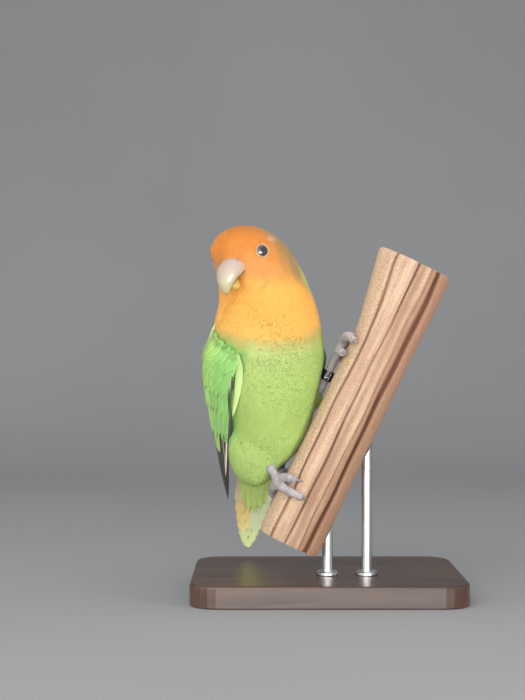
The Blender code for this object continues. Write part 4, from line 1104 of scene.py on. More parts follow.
def rectrixTones(offset, outer, reach, length):
    # green above with an orange patch, a dark bar and a blue tip, pale below and warm on the bird's right
    shape = blades["rectrix"]
    place = shape["points"][:, 1] * (reach + tail["start"]) / length  # share of the whole tail
    most = min(1.0, outer * 1.4)
    top = blendAll(
        tailColours["green"],
        (tailColours["orange"], smoothStep(place, 0.35, 0.5) * (1 - smoothStep(place, 0.68, 0.74)) * most),
        (tailColours["green"] * 0.25, smoothStep(place, 0.72, 0.76) * (1 - smoothStep(place, 0.80, 0.84)) * most),
        (tailColours["blue"], smoothStep(place, 0.86, 0.95) * 0.5),
    )
    warm = blend(tailColours["cream"], tailColours["yellow"], smoothStep(place, 0.55, 0.66))
    low = blendAll(
        tailColours["under"],
        (warm, smoothStep(-offset, 1.0, 3.0) * (1 - smoothStep(place, 0.84, 0.92))),
        (tailColours["lime"], smoothStep(place, 0.82, 0.94)),
    )
    return np.where(shape["under"][:, None], low, top)


def makeTail():
    root, along, across, upper, length = tailFrame()
    core = ball(24, 14)
    turn = Matrix((across, upper, along)).transposed().to_4x4()
    core.matrix_world = (Matrix.Translation(inScene(root + along * tail["coreAt"])) @ turn
                         @ Matrix.Diagonal((*(radius * mm for radius in tail["coreRadii"]), 1)))
    settle(core, "tailCore")
    core.data.shade_smooth()
    # the flesh takes the vent's green at 0.6, painted shade where it shows between the feathers
    paintPoints(core.data, np.tile(tailColours["vent"] * 0.6, (len(core.data.vertices), 1)))
    finish(core, skinPaint, "tail_green", "tail")
    count, start = tail["feathers"], tail["start"]
    offset = np.arange(count) - (count - 1) / 2
    outer = np.abs(offset) / ((count - 1) / 2)
    reach = length * (1.035 - 0.39 * outer**1.35) - start + chance.normal(0, 0.3, count)
    tints = np.array([rectrixTones(*each, length) for each in zip(offset, outer, reach)])
    heights = 0.8 - 1.5 * outer + chance.normal(0, 0.05, count)
    pieces = [layTail("Feathers", "rectrix", offset * tail["apart"] + 0.5, offset * tail["fan"], start, reach,
                      tail["halfWidth"], heights, 0, tints, 0.35)]
    # coverts above, bright blue, and below, yellow-green
    for row in range(tail["coverRows"]):
        number = 5 + row
        offset = np.arange(number) - (number - 1) / 2
        side = np.abs(offset)
        blue = coverTones("covert", "blue", number, 0.08)
        pieces.append(layTail(f"Upper{row}", "covert", offset * tail["coverApart"], offset * math.radians(2.0),
                              10 - 3.4 * row, 19 - 1.4 * side + chance.normal(0, 0.5, number), 2.3,
                              3.0 - 0.35 * side + 0.25 * row, -1.0, blue))
        green = coverTones("leaf", "vent", number, 0.04)
        pieces.append(layTail(f"Under{row}", "leaf", offset * tail["coverApart"] + 1.3, offset * math.radians(1.2),
                              16 - 4.0 * row, 30 - 2.4 * side + chance.normal(0, 0.8, number), 2.7,
                              -2.6 + 0.35 * side - 0.3 * row, 1.1, green, facing=-1))
    return pieces


def coverTones(blade, tone, number, jitter):
    tones = np.tile(tailColours[tone], (number, len(blades[blade]["points"]), 1))
    return tones * (1 + chance.normal(0, jitter, (number, 1, 1)))


for piece in makeTail():
    finish(piece, vanePaint, "tail_green")
print("tail is feathered")


# Coat: small feathers over the whole skin, laid along its surface

coatZones = {
    # name: length, halfWidth and spacing of the feathers
    "face": (2.5, 0.44, 0.44), "crown": (3.4, 0.54, 0.52), "neck": (4.4, 0.66, 0.60),
    "breast": (5.2, 0.78, 0.68), "belly": (6.0, 0.84, 0.72), "back": (6.6, 1.5, 1.1),
}
coat = {
    "darts": 9.0,  # places tried for each that the spacing allows
    "apart": 0.86, "cell": 0.9, "knots": 6,
    "bare": 3.0, "lid": 3.35,  # no root nearer to an eye's centre, and no tip
    "lengthJitter": 0.07, "widthJitter": 0.10, "toneJitter": 0.025, "roll": 0.015, "lieJitter": 0.07,
    "thickness": 0.03, "thinnest": 0.015, "thickest": 0.05,
    # height by the share of the usual length from the root, so that a feather with a higher root lies on top
    "riseAt": ((0.0, 0.2, 0.4, 0.6, 0.8, 1.0, 1.25), (-0.15, 0.08, 0.19, 0.28, 0.36, 0.43, 0.51)),
    "spineFrom": 100, "neckTo": 118,
}
coatPieces = (
    # name, blade, slot and the height that it ends at, from the crown down; coatBack takes the rest, along the spine
    ("coatCrown", "plume", "orange", 150), ("coatFace", "plume", "orange", 139),
    ("coatThroat", "plume", "orange", 129), ("coatNeck", "plume", "orange", coat["neckTo"]),
    ("coatBreast", "plume", "green", 92), ("coatBelly", "plume", "green", 66),
    ("coatThighs", "plume", "green", 0), ("coatBack", "contour", "green", 0),
)


def coatSize(points):
    # length, halfWidth and spacing of the feathers at each point
    z = points[:, 2]
    fromBill = np.linalg.norm(points - headPoint(18.0, 0.0, 144.0), axis=1)
    fromEyes = np.minimum(*(np.linalg.norm(points - eyeFrame(side)[0], axis=1) for side in (1, -1)))
    face, crown, neck, breast, belly, back = np.array(list(coatZones.values()))
    return blendAll(
        face,
        (crown, np.minimum(smoothStep(fromBill, 6, 24), smoothStep(fromEyes, 3, 12))),
        (neck, smoothStep(-z, -142, -128)),
        (breast, smoothStep(-z, -124, -108)),
        (belly, smoothStep(-z, -96, -80)),
        (back, smoothStep(roundBody(points)[1], 100, 135) * smoothStep(-z, -140, -120)),
    )


def lieOf(points, normals):
    # the way the feathers point: away from the bill on the head, down the body, back at the vent
    z = points[:, 2]
    head = smoothStep(z, 124, 140)[:, None]
    away = unit(points - headPoint(19.0, 0.0, 144.5))
    downward = np.array([0.0, 0.0, -1.0])
    backward = unit(birdPoint(0, -1, 0) - birdPoint(0, 0, 0))
    low = smoothStep(-z, -100, -52)[:, None]
    lie = head * away + (1 - 0.55 * head) * downward + backward * (0.22 + 0.5 * low) * (1 - head)
    lie = lie + chance.normal(0, coat["lieJitter"], lie.shape)
    return unit(lie - normals * np.sum(lie * normals, 1, keepdims=True))


def isClear(grid, key, p, reach):
    # whether no place already kept lies nearer than reach
    span = int(reach / coat["cell"]) + 1
    for step in product(range(-span, span + 1), repeat=3):
        for q in grid.get((key[0] + step[0], key[1] + step[1], key[2] + step[2]), ()):
            if (p[0] - q[0]) ** 2 + (p[1] - q[1]) ** 2 + (p[2] - q[2]) ** 2 < reach * reach:
                return False
    return True


def scatter(skinPoints, skinNormals, faces):
    # places on the skin, thrown at random and kept apart by the coat's spacing
    a, b, c = (skinPoints[faces[:, k]] for k in range(3))
    area = np.linalg.norm(np.cross(b - a, c - a), axis=1) / 2
    weight = area / coatSize((a + b + c) / 3)[:, 2] ** 2
    count = int(weight.sum() * coat["darts"])
    chosen = chance.choice(len(faces), count, p=weight / weight.sum())
    r1, r2 = np.sqrt(chance.random(count)), chance.random(count)
    w = np.stack([1 - r1, r1 * (1 - r2), r1 * r2], 1)[..., None]
    points = a[chosen] * w[:, 0] + b[chosen] * w[:, 1] + c[chosen] * w[:, 2]
    normals = unit((skinNormals[faces[chosen]] * w).sum(1))
    spacing = coatSize(points)[:, 2] * coat["apart"]
    keys = np.floor(points / coat["cell"]).astype(int).tolist()
    grid = {}
    kept = []
    for i, p in enumerate(points.tolist()):
        if isClear(grid, keys[i], p, spacing[i]):
            grid.setdefault(tuple(keys[i]), []).append(p)
            kept.append(i)
    return points[kept], normals[kept]


def bareRoots(roots, normals, wings, eyes):
    # nothing grows under a wing, in an eye or under the bill
    bare = np.empty(len(roots), bool)
    for i, (p, n) in enumerate(zip(roots, normals)):
        hit = wings.ray_cast(Vector(p + n * 9.0), Vector(-n), 9.5)
        bare[i] = hit[0] is not None or min(np.linalg.norm(p - e) for e in eyes) < coat["bare"]
    origin = headPoint(0.0, 0.0, 0.0)
    forward, left = ((roots - origin) @ (headPoint(*axis, 0.0) - origin) for axis in ((1.0, 0.0), (0.0, 1.0)))
    return bare | ((forward > 8) & ((left / 5.4) ** 2 + ((roots[:, 2] - 142.2) / 6.2) ** 2 < 1))


def endAtLids(lengths, roots, lie, eyes):
    # a feather that points at an eye ends at its lid
    for eye in eyes:
        toEye = eye - roots
        ahead = np.sum(toEye * lie, 1)
        off = np.sum(toEye**2, 1) - ahead**2
        stop = ahead - np.sqrt(np.maximum(coat["lid"] ** 2 - off, 0))
        meets = (off < coat["lid"] ** 2) & (ahead > 0) & (stop < lengths)
        lengths = np.where(meets, np.maximum(stop, 0.5), lengths)
    return lengths


def followGround(ground, roots, rootNormals, lie, lengths, rise):
    # walks each feather over the skin and the wings' flesh, step by step
    knots = coat["knots"]
    centres, norms = np.empty((2, len(roots), knots, 3))
    for i in range(len(roots)):
        p, nrm, d = roots[i], rootNormals[i], lie[i]
        for k in range(knots):
            centres[i, k] = p + nrm * rise[i, k]
            norms[i, k] = nrm
            if k == knots - 1:
                break
            q = p + d * lengths[i] / (knots - 1)
            hit = ground.ray_cast(Vector(q + nrm * 4.0), Vector(-nrm), 7.0)
            if hit[0] is None:
                hit = ground.find_nearest(Vector(q))
            p, nrm = np.array(hit[0]), unit(0.5 * nrm + 0.5 * np.array(hit[1]))
            d = unit(d - nrm * np.dot(d, nrm))
    return centres, norms


def coatSpots(roots):
    # the bake map's places: round the body, and down its length
    around = roundBody(roots)[0] / 360 + 0.5
    table = np.linspace(bird["ventBottom"], bird["crownTop"], 300)
    run = np.concatenate([[0], np.cumsum(np.linalg.norm(np.diff(bodyPoint(table, 0.0), axis=0), axis=1))])
    return np.stack([around * 0.99, np.interp(roots[:, 2], table, run / run[-1]) * 0.99], -1)


def growCoat():
    points, normals = vertexArrays(skin)
    skin.data.calc_loop_triangles()
    faces = np.array([t.vertices[:] for t in skin.data.loop_triangles])
    roots, rootNormals = scatter(points, normals, faces)
    ground = treeOf(skin, *wingCores.values())
    wings = treeOf(*wingCores.values())
    eyes = [eyeFrame(side)[0] for side in (1, -1)]
    keep = ~bareRoots(roots, rootNormals, wings, eyes)
    roots, rootNormals = roots[keep], rootNormals[keep]
    n = len(roots)
    length, halfWidth, _ = coatSize(roots).T
    lie = lieOf(roots, rootNormals)
    lengths = endAtLids(length * (1 + chance.normal(0, coat["lengthJitter"], n)), roots, lie, eyes)
    tall = 0.8 + 0.7 * smoothStep(length, 2.0, 6.5)
    share = np.linspace(0, 1, coat["knots"])[None] * (lengths / length)[:, None]
    rise = np.interp(share, *coat["riseAt"]) * tall[:, None]
    centres, norms = followGround(ground, roots, rootNormals, lie, lengths, rise)
    sides = unit(np.cross(unit(np.gradient(centres, axis=1)), norms))
    # a little roll and tone for each feather
    roll = chance.normal(0, coat["roll"], n)[:, None, None]
    norms, sides = unit(norms + sides * roll), unit(sides - norms * roll)
    nearWing = np.array([wings.find_nearest(Vector(p))[3] for p in centres[:, 4]])
    tints = plumageAt(roots + lie * lengths[:, None] * 0.6, (1 - smoothStep(nearWing, 1.5, 7)) * 0.9)
    tints = tints * (1 + chance.normal(0, coat["toneJitter"], (n, 1)))
    wide = halfWidth * (1 + chance.normal(0, coat["widthJitter"], n))
    thick = np.clip(wide * coat["thickness"], coat["thinnest"], coat["thickest"])
    spots = coatSpots(roots)
    isBack = (roundBody(roots)[1] > coat["spineFrom"]) & (roots[:, 2] <= coat["neckTo"])
    top = math.inf
    for name, blade, slot, low in coatPieces:
        zone = isBack if name == "coatBack" else (roots[:, 2] <= top) & (roots[:, 2] > low) & ~isBack
        made = layBlades(name, blade, centres[zone], norms[zone], sides[zone], wide[zone], thick[zone], tints[zone],
                         spots[zone])
        finish(made, coatPaint, slot)
        print(name, int(zone.sum()), "feathers,", len(made.data.polygons), "triangles")
        top = low


growCoat()


# Eyes and lids

eyePaint = Paint("eye", Roughness=0.06, Coat_Weight=1.0, Coat_Roughness=0.02, Coat_IOR=1.8, Specular_IOR_Level=0.3)
eyeGlint = eyePaint.noise(eyePaint.place(), 900.0, 3.0)
eyePaint.set("Base Color", eyePaint.mix(eyeGlint, (0.010, 0.006, 0.005), (0.030, 0.018, 0.012)))
lidPaint = Paint("lid", Roughness=0.5, Subsurface_Weight=0.15)
lidGrain = lidPaint.node("ShaderNodeTexVoronoi", None, {"Vector": lidPaint.place(), "Scale": 2400.0})
lidPaint.set("Base Color", lidPaint.mix(lidGrain, linear(216, 186, 150), linear(184, 144, 108)))
lidPaint.set("Normal", lidPaint.bump(lidGrain, 0.6, 0.0002))


lidRing = {"radius": 2.95, "tube": 0.42, "sunk": 0.28, "ballSunk": 0.4}


def makeEyes():
    for name, side in (("eye_left", 1), ("eye_right", -1)):
        here, outward = eyeFrame(side)
        sunk = math.sqrt(bird["eyeball"] ** 2 - bird["eyeOpening"] ** 2) + lidRing["ballSunk"]
        turn = Vector(outward).to_track_quat("Z", "Y").to_euler()
        eye = ball(64, 40, bird["eyeball"] * mm, inScene(here - outward * sunk), turn)
        settle(eye, name + "Ball").data.shade_smooth()
        finish(eye, eyePaint, "eye", name)
        lid = hoop(lidRing["radius"], lidRing["tube"], 72, 16, inScene(here - outward * lidRing["sunk"]), turn)
        settle(lid, name + "Lid").data.shade_smooth()
        finish(lid, lidPaint, "orange")


makeEyes()
print("eyes are in")


# Bill

upperBill = [
    # forward, z, pitch, halfWidth, up, down
    (10.0, 143.6, 0, 5.8, 5.0, 4.4), (15.0, 143.6, -10, 6.0, 4.8, 4.8), (18.0, 142.6, -32, 6.0, 4.4, 4.6),
    (20.3, 140.4, -56, 5.5, 3.6, 3.8), (21.6, 137.6, -74, 4.4, 2.7, 2.8), (22.0, 134.8, -88, 2.9, 1.9, 1.8),
    (21.7, 132.6, -100, 1.3, 1.0, 0.9),
]
lowerBill = [
    (9.0, 136.8, -10, 3.7, 3.6, 3.4), (14.0, 136.4, -4, 3.4, 3.4, 3.0), (16.8, 136.0, 12, 3.0, 3.7, 2.2),
    (18.6, 136.2, 35, 2.2, 2.7, 1.4),
]
billGrid = {"rings": 44, "sides": 48}


def makeBillHalf(name, stations, tip, ridge):
    # a closed form through the stations; tip is forward and z, ridge the height of the culmen's keel
    last = len(stations) - 1
    rows = through(np.arange(last + 1), stations, np.linspace(0, last, billGrid["rings"]))
    turns = np.linspace(0, 2 * math.pi, billGrid["sides"], endpoint=False)
    s = np.sin(turns)
    origin = headPoint(0.0, 0.0, 0.0)
    leftward = headPoint(0.0, 1.0, 0.0) - origin
    rings = []
    for forward, z, pitch, wide, up, low in rows:
        pitch = math.radians(pitch)
        normal = headPoint(-math.sin(pitch), 0.0, math.cos(pitch)) - origin
        height = np.where(s > 0, up, low) * s
        height = height + ridge * up * np.maximum(s, 0) ** 8  # the culmen's faint keel
        centre = headPoint(forward, 0.0, z)
        rings.append(centre + leftward * (wide * np.cos(turns))[:, None] + normal * height[:, None])
    points, faces = loft(rings, rings[0].mean(0), headPoint(tip[0], 0.0, tip[1]))
    bill = meshFrom(name, points, faces, 70)
    closeUp(bill)
    bill.data.shade_smooth()
    return bill


def hornPaint(name, low, high):
    # horn that turns from low to high between two heights, in metres, and darker at the hook
    paint = Paint(name, Roughness=0.3, Coat_Weight=0.25, Coat_Roughness=0.2, Subsurface_Weight=0.1)
    height = paint.node("ShaderNodeSeparateXYZ", None, {0: paint.place()}, 2)
    lines = paint.noise(paint.place((1, 1, 5)), 420.0, 3.0)
    tone = paint.mix(height.above(0.1405, 0.1520), low, high)
    tone = paint.mix((1 - height.above(0.1368, 0.1380)) * 0.8, tone, linear(122, 96, 66))
    paint.set("Base Color", paint.shade(tone, 0.86 + lines * 0.22))
    paint.set("Roughness", 0.26 + lines * 0.15)
    paint.set("Normal", paint.bump(lines, 0.15, 0.0002))
    return paint


billPaint = hornPaint("bill", linear(198, 188, 150), linear(200, 174, 162))
billUpper = finish(makeBillHalf("billUpper", upperBill, (21.0, 130.9), 0.05), billPaint, "bill", "bill_upper")
lowerPaint = hornPaint("lowerBill", linear(216, 186, 102), linear(216, 186, 102))
finish(makeBillHalf("billLower", lowerBill, (19.8, 136.9), 0.0), lowerPaint, "bill", "bill_lower")


nostril = {"from": (21.0, 5.0, 154.0), "aim": (15.6, 2.4, 143.6), "radius": 0.62, "rim": 0.24, "pit": 0.42}
# path and radius of the dark line of painted shadow where the bill's halves meet
gapeShadow = {"path": [(14.0, 7.0, 142.6), (16.5, 6.6, 140.4), (18.6, 5.6, 137.6), (20.2, 3.8, 134.8)], "radius": 0.32}


def mirrored(place, side):
    forward, left, z = place
    return headPoint(forward, side * left, z)


def makeNostrils(horn):
    # a soft rim on each side of the culmen, round a dark ball that is the painted shade inside the opening
    rims, pits = [], []
    for side in (1, -1):
        start, aim = mirrored(nostril["from"], side), mirrored(nostril["aim"], side)
        hit, out, _, _ = horn.ray_cast(Vector(start), Vector(aim - start))
        turn = out.to_track_quat("Z", "Y").to_euler()
        rims.append(hoop(nostril["radius"], nostril["rim"], 28, 12, inScene(hit), turn))
        pits.append(settle(ball(16, 8, nostril["pit"] * mm, inScene(hit))))
    # the pits' dark brown is painted shade
    dark = Paint("nostril", Roughness=0.7)
    dark.set("Base Color", dark.mix(dark.noise(dark.place(), 1500.0, 3.0), linear(140, 102, 88), linear(100, 72, 62)))
    for name, made, paint in (("nostrilRims", rims, billPaint), ("nostrilShadePits", pits, dark)):
        piece = joinAll(name, made)
        piece.data.shade_smooth()
        finish(piece, paint, "bill")


def makeGapeShadow(horn, count=24):
    # the dark line of painted shadow in the crease where the two halves of the bill meet, laid on the upper half's
    # edge
    made = []
    for side in (1, -1):
        path = [np.array(horn.find_nearest(Vector(mirrored(place, side)))[0]) for place in gapeShadow["path"]]
        path = through(np.linspace(0, 1, len(path)), path, np.linspace(0, 1, count))
        radii = gapeShadow["radius"] * (1 - 0.6 * np.abs(np.linspace(-1, 1, count)) ** 3)
        line = meshFrom("gapeShadowLine", *sweep(path, radii, 8))
        closeUp(line)
        made.append(line)
    paint = Paint("gapeShadow", Roughness=0.6)
    grain = paint.noise(paint.place(), 900.0, 2.0)
    paint.set("Base Color", paint.mix(grain, linear(120, 96, 44), linear(84, 66, 34)))
    finish(joinAll("gapeShadowLines", made), paint, "bill")


makeNostrils(treeOf(billUpper))
makeGapeShadow(treeOf(billUpper))
print("bill is in")


# Perch

perch = {
    "lean": math.radians(64.3), "foot": (-17.9, -12.0, 18.8), "length": 140.0, "halfWidth": 14.5, "halfDepth": 12.0,
    "squareness": 0.82, "forkStart": 99.0, "forkSwell": 6.5,
    # across, width, depth
    "frontGrooves": ((-0.66, 0.045, 0.13), (-0.14, 0.04, 0.11), (0.06, 0.20, 0.10), (0.33, 0.03, 0.08),
                     (0.58, 0.07, 0.24)),
    "backGrooves": ((-0.55, 0.08, 0.12), (0.0, 0.14, 0.10), (0.52, 0.07, 0.14)),
}
perchAlong = np.array((math.cos(perch["lean"]), 0.0, math.sin(perch["lean"])))
perchRight = np.array((math.sin(perch["lean"]), 0.0, -math.cos(perch["lean"])))
perchNear = np.array((0.0, -1.0, 0.0))


def perchPoint(angle, along, height=0.0):
    # a point over the branch's surface; angle 0 is its right edge and 90 its near side
    angle, along = math.radians(angle), float(along)
    c, s = math.cos(angle), math.sin(angle)
    right = math.copysign(abs(c) ** perch["squareness"], c) * perch["halfWidth"]
    near = math.copysign(abs(s) ** perch["squareness"], s) * perch["halfDepth"]
    out = unit(perchRight * right / perch["halfWidth"] ** 2 + perchNear * near / perch["halfDepth"] ** 2)
    return np.array(perch["foot"]) + perchAlong * along + perchRight * right + perchNear * near + out * height


def makePerch():
    around, steps = 220, 150
    angle = np.linspace(0, 2 * math.pi, around, endpoint=False)[None]
    along = np.linspace(0, perch["length"], steps)[:, None]
    c, s = np.cos(angle), np.sin(angle)
    right = np.sign(c) * np.abs(c) ** perch["squareness"] + 0 * along
    near = np.sign(s) * np.abs(s) ** perch["squareness"] + 0 * along
    groove = np.zeros((steps, around))
    for grooves, facing in ((perch["frontGrooves"], s > 0), (perch["backGrooves"], s <= 0)):
        for place, width, depth in grooves:
            # each groove wanders, narrows and opens as it runs
            line = place + 0.018 * np.sin(along / 13 + place * 9) + 0.010 * np.sin(along / 5.1 + place * 4)
            wide = width * (1 + 0.25 * np.sin(along / 21 + place * 5))
            groove += depth * np.exp(-(((right - line) / wide) ** 2)) * facing
    depth = 1 - groove
    fibre = 0.004 * np.sin(angle * 37 + 2 * np.sin(along / 9)) + 0.003 * np.sin(angle * 61 + along / 31)
    wander = 0.985 + 0.008 * np.sin(along / 17 + 2 * angle) + 0.007 * np.sin(along / 9) + fibre
    fork = np.maximum(0, (along - perch["forkStart"]) / (perch["length"] - perch["forkStart"])) ** 1.2
    swell = perch["forkSwell"] * fork * np.maximum(0, -c) ** 1.5
    r = right * perch["halfWidth"] * (0.6 + 0.4 * depth) * wander - swell
    n = near * perch["halfDepth"] * depth * wander
    # sawn ends, their rims a little worn
    rim = np.minimum(along, perch["length"] - along)
    worn = 1 - 0.03 * np.exp(-((rim / 0.8) ** 2))
    centre = np.array(perch["foot"]) + perchAlong * along[..., None]
    rings = centre + perchRight * (r * worn)[..., None] + perchNear * (n * worn)[..., None]
    grain = [np.stack([r, n, along + 0 * r], -1).reshape(-1, 3)]
    deep = [groove.reshape(-1)]
    points = [rings.reshape(-1, 3)]
    faces = tubeFaces(steps, around)
    total = steps * around
    for row in (0, steps - 1):
        # the cut face is closed with shrinking rings, so that its growth rings have room
        previous = np.arange(around) + row * around
        for share in (0.8, 0.55, 0.3, 0.1):
            middle = centre[row, 0]
            ring = middle + (rings[row] - middle) * share
            points.append(ring)
            grain.append(np.stack([r[row] * share, n[row] * share, np.full(around, along[row, 0])], -1))
            deep.append(np.zeros(around))
            now = np.arange(around) + total
            total += around
            faces += list(zip(previous, np.roll(previous, -1), np.roll(now, -1), now))
            previous = now
        faces.append(tuple(previous))
    obj = meshFrom("perchWood", np.concatenate(points), faces, 40)
    fields = (("grainPlace", "FLOAT_VECTOR", "vector", grain), ("groove", "FLOAT", "value", deep))
    for name, kind, field, values in fields:
        made = obj.data.attributes.new(name, kind, "POINT")
        made.data.foreach_set(field, np.concatenate(values).reshape(-1))
    inEditMode(obj, (bpy.ops.mesh.normals_make_consistent, {"inside": False}))
    return obj


def woodPaint():
    paint = Paint("branch", Roughness=0.8, Specular_IOR_Level=0.25)
    grain, groove = paint.attribute("grainPlace", 1), paint.attribute("groove", 2)
    across = paint.node("ShaderNodeSeparateXYZ", None, {0: grain}, 0)
    long = paint.stretch(grain, (1.0, 1.0, 0.05))
    fine = paint.noise(long, 2.6, 5.0, 0.65, 0.4)
    broad = paint.noise(long, 0.35, 3.0)
    blotch = paint.noise(paint.stretch(grain, (1.0, 1.0, 0.35)), 0.22, 3.0)
    speck = paint.noise(grain, 1.5, 4.0, 0.7)
    tone = paint.mix(broad.above(0.35, 0.65), linear(202, 164, 136), linear(222, 190, 160))
    tone = paint.mix(blotch.above(0.45, 0.75) * 0.5, tone, linear(188, 144, 118))
    tone = paint.mix(across.above(2.0, 7.0) * 0.85, tone, linear(164, 122, 96))
    # the strip on the left keeps a yellower, speckled skin of old bark
    strip = 1 - across.above(-10.2, -9.2)
    bark = paint.mix(speck.above(0.38, 0.66), linear(200, 166, 132), linear(224, 198, 166))
    tone = paint.mix(strip * 0.65, tone, bark)
    tone = paint.mix(groove.above(0.04, 0.16) * 0.9, tone, linear(128, 82, 60))
    paint.set("Base Color", paint.shade(tone, 0.66 + fine * 0.36 + speck.above(0.3, 0.7) * 0.3))
    paint.set("Roughness", 0.7 + fine * 0.2)
    paint.set("Normal", paint.bump(fine + speck * 0.7, 0.7, 0.0008))
    return paint


finish(makePerch(), woodPaint(), "branch", "perch")
print("perch is in")


# Legs and feet

feet = {
    "right": {
        "palm": (163, 23.6), "heel": (-26.4, -17.5, 54.0),
        "toes": (
            ((160, 142, 124), (25.4, 27.2, 28.2)), ((158, 130, 102), (22.4, 22.3, 22.3)),
            ((172, 192, 212), (24.8, 26.8, 27.8)), ((170, 192, 214), (21.2, 17.8, 15.4)),
        ),
    },
    "left": {
        "palm": (192, 91.5), "heel": (-3.7, -5.6, 87.4),
        "toes": (
            ((184, 163, 143), (94.2, 97.0, 95.9)), ((184, 170, 156), (89.4, 88.8, 88.8)),
            ((200, 218, 236), (93.5, 95.5, 96.0)), ((200, 218, 238), (89.5, 87.0, 86.0)),
        ),
    },
}
limb = {
    "tarsus": 1.95, "toe": 2.15, "toeTip": 1.7, "palm": 2.5, "palmHeight": 2.6, "gap": 0.2, "voxel": 0.24,
    "pads": 3, "padSwell": 0.16, "shinSwell": 0.22, "claw": 4.0, "clawRadius": 0.85,
    "claws": ("inner", "outer", "hind_inner", "hind_outer"),
}


def toePath(angles, alongs, count=22):
    # the middle of a toe, laid over the branch's surface
    t = np.linspace(0, 2, count)
    a, l = through((0, 1, 2), angles, t), through((0, 1, 2), alongs, t)
    height = limb["toe"] + limb["gap"] + 0.15 + 0.25 * np.sin(math.pi * t / 2)
    return np.array([perchPoint(a[i], l[i], height[i]) for i in range(count)])


def makeFoot(side):
    foot = feet[side]
    palm = perchPoint(*foot["palm"], limb["palmHeight"] + limb["gap"])
    heel = np.array(foot["heel"])
    parts = []
    # each toe starts inside the palm
    for angles, alongs in foot["toes"]:
        path = toePath(angles, alongs)
        share = np.linspace(0, 1, len(path))
        radii = limb["toe"] + (limb["toeTip"] - limb["toe"]) * share
        radii = radii + limb["padSwell"] * np.cos(share * limb["pads"] * 2 * math.pi)
        lead = palm + (path[0] - palm) * np.linspace(0, 0.8, 5)[:, None]
        path = np.concatenate([lead, path])
        radii = np.concatenate([np.full(5, limb["toe"] + 0.1), radii])
        parts.append(meshFrom("toe", *sweep(path, radii)))
    shin = np.linspace(0, 1, 14)
    radii = limb["tarsus"] + limb["shinSwell"] * np.abs(shin - 0.5) ** 1.5 * 3
    parts.append(meshFrom("shank", *sweep(heel + (palm - heel) * shin[:, None], radii)))
    parts.append(settle(ball(24, 16, limb["palm"] * mm, inScene(palm))))
    for part in parts:
        closeUp(part)
    obj = joinAll("foot_" + side + "_skin", parts)
    addModifier(obj, "REMESH", mode="VOXEL", voxel_size=limb["voxel"] * mm)
    addModifier(obj, "SMOOTH", factor=0.5, iterations=3)
    obj.data.shade_smooth()
    for claw, (angles, alongs) in zip(limb["claws"], foot["toes"]):
        makeClaw(f"claw_{side}_{claw}", angles, alongs)
    return obj, heel, unit(palm - heel), float(np.linalg.norm(palm - heel))


def makeClaw(node, angles, alongs):
    path = toePath(angles, alongs)
    ahead = unit(path[-1] - path[-2])
    inward = unit(perchPoint(angles[-1], alongs[-1]) - path[-1])
    t = np.linspace(0, 1, 14)
    base = path[-1] - ahead * 0.5 - inward * 0.3
    line = base + ahead * (limb["claw"] * 0.92 * t)[:, None] + inward * (1.7 * t**2)[:, None]
    radii = limb["clawRadius"] * (1 - t) ** 0.7 + 0.06
    claw = meshFrom(node + "Horn", *sweep(line, radii, 14))
    closeUp(claw)
    claw.data.shade_smooth()
    finish(claw, clawPaint, "claw", node)


clawPaint = Paint("claw", Roughness=0.35, Coat_Weight=0.2, Coat_Roughness=0.3)
clawLines = clawPaint.noise(clawPaint.place(), 1200.0, 3.0)
clawPaint.set("Base Color", clawPaint.mix(clawLines, linear(92, 84, 84), linear(160, 146, 142)))


def scalePaint():
    paint = Paint("scales", Roughness=0.6, Subsurface_Weight=0.08)
    where = paint.place()
    cell = paint.node("ShaderNodeTexVoronoi", {"feature": "DISTANCE_TO_EDGE"}, {"Vector": where, "Scale": 1150.0})
    tone = paint.noise(where, 300.0, 3.0)
    seam = 1 - cell.above(0.02, 0.16)
    skinTone = paint.mix(tone.above(0.35, 0.65), linear(200, 190, 190), linear(216, 206, 212))
    paint.set("Base Color", paint.mix(seam * 0.65, skinTone, linear(142, 128, 128)))
    paint.set("Normal", paint.bump(cell.above(0.0, 0.3), 0.9, 0.0004))
    return paint


scaleSkin = scalePaint()
legs = {}
for side in feet:
    obj, heel, shin, reach = makeFoot(side)
    legs[side] = (heel, shin, reach)
    finish(obj, scaleSkin, "foot", "foot_" + side, "tarsus_" + side)


# Ring on the left leg

ring = {
    "bore": 2.35, "wall": 0.55, "length": 4.6, "place": 0.36, "bevel": 0.12,
    "digits": "27", "digitSize": 3.4, "digitDepth": 0.03, "digitLift": 0.02, "facing": (0.1, -1.0, 0.0),
}


def makeRing(centre, shin, outer):
    turn = Vector(shin).to_track_quat("Z", "Y").to_euler()
    deselectAll()
    bpy.ops.mesh.primitive_cylinder_add(vertices=72, radius=outer * mm, depth=ring["length"] * mm,
                                        end_fill_type="NOTHING", location=centre, rotation=turn)
    band = settle(bpy.context.active_object, "legBand")
    addModifier(band, "SOLIDIFY", thickness=ring["wall"] * mm, offset=-1)
    addModifier(band, "BEVEL", width=ring["bevel"] * mm, segments=3, limit_method="ANGLE")
    smoothByAngle(band)
    paint = Paint("blackBand", Metallic=0.3, Roughness=0.35)
    worn = paint.noise(paint.place(), 700.0, 4.0)
    paint.set("Base Color", paint.mix(worn.above(0.55, 0.8), (0.008, 0.008, 0.009), (0.05, 0.05, 0.055)))
    paint.set("Roughness", 0.28 + worn * 0.25)
    finish(band, paint, "leg_ring", "leg_ring")


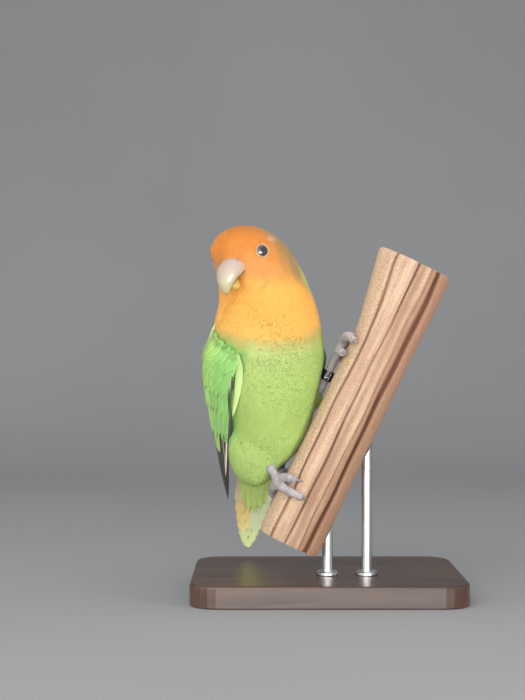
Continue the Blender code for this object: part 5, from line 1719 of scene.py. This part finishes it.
def makeDigits(centre, shin, outer):
    # plain digits, wrapped round the side that faces the camera, their foot along the leg
    deselectAll()
    bpy.ops.object.text_add(location=(0, 0, 0))
    text = bpy.context.active_object
    text.data.body = ring["digits"]
    text.data.size = ring["digitSize"] * mm
    text.data.align_x = "CENTER"
    text.data.align_y = "CENTER"
    text.data.extrude = ring["digitDepth"] * mm
    pick(text)
    bpy.ops.object.convert(target="MESH")
    facing = unit(np.array(ring["facing"]) - shin * np.dot(ring["facing"], shin))
    side = np.cross(facing, shin)
    middle = np.array(centre) / mm
    for v in text.data.vertices:
        turnBy = -v.co.y / mm / outer
        out = facing * math.cos(turnBy) + side * math.sin(turnBy)
        v.co = Vector(middle + shin * (v.co.x / mm) + out * (outer + ring["digitLift"] + v.co.z / mm)) * mm
    settle(text, "bandDigits")
    ink = Paint("bandInk", Roughness=0.5)
    ink.set("Base Color", ink.mix(ink.noise(ink.place(), 900.0, 3.0), (0.6, 0.6, 0.6), (0.85, 0.85, 0.85)))
    finish(text, ink, "leg_ring")


legHeel, legShin, legReach = legs["left"]
ringPlace = inScene(legHeel + legShin * legReach * ring["place"])
makeRing(ringPlace, legShin, ring["bore"] + ring["wall"])
makeDigits(ringPlace, legShin, ring["bore"] + ring["wall"])
print("legs are in")


# Stand

def standPaints():
    wood = Paint("stainedWood", Roughness=0.4, Coat_Weight=0.3, Coat_Roughness=0.25)
    where = wood.place((0.12, 1.0, 1.0))
    grain = wood.noise(where, 260.0, 6.0, 0.6, 0.6)
    broad = wood.noise(where, 60.0, 3.0, 0.5, 1.2)
    tone = wood.mix(broad.above(0.3, 0.7), linear(88, 58, 40), linear(60, 38, 26))
    wood.set("Base Color", wood.shade(tone, 0.7 + grain * 0.6))
    wood.set("Roughness", 0.32 + grain * 0.2)
    wood.set("Normal", wood.bump(grain, 0.15, 0.0004))
    steel = Paint("brushedSteel", Metallic=1.0, Roughness=0.3)
    scratch = steel.noise(steel.place((1, 1, 0.02)), 3000.0, 3.0)
    steel.set("Base Color", steel.mix(scratch, (0.50, 0.50, 0.51), (0.66, 0.66, 0.67)))
    steel.set("Roughness", 0.24 + scratch * 0.16)
    steel.set("Normal", steel.bump(scratch, 0.1, 0.0001))
    return wood, steel


wood, steel = standPaints()
for name, paint in (("stand_base", wood), ("stand_rod_lower", steel), ("stand_rod_upper", steel)):
    nodes[name].data.materials.clear()
    nodes[name].data.materials.append(paint.material)
    nodes[name].data.shade_smooth()
    smoothByAngle(nodes[name])
print("stand is finished")
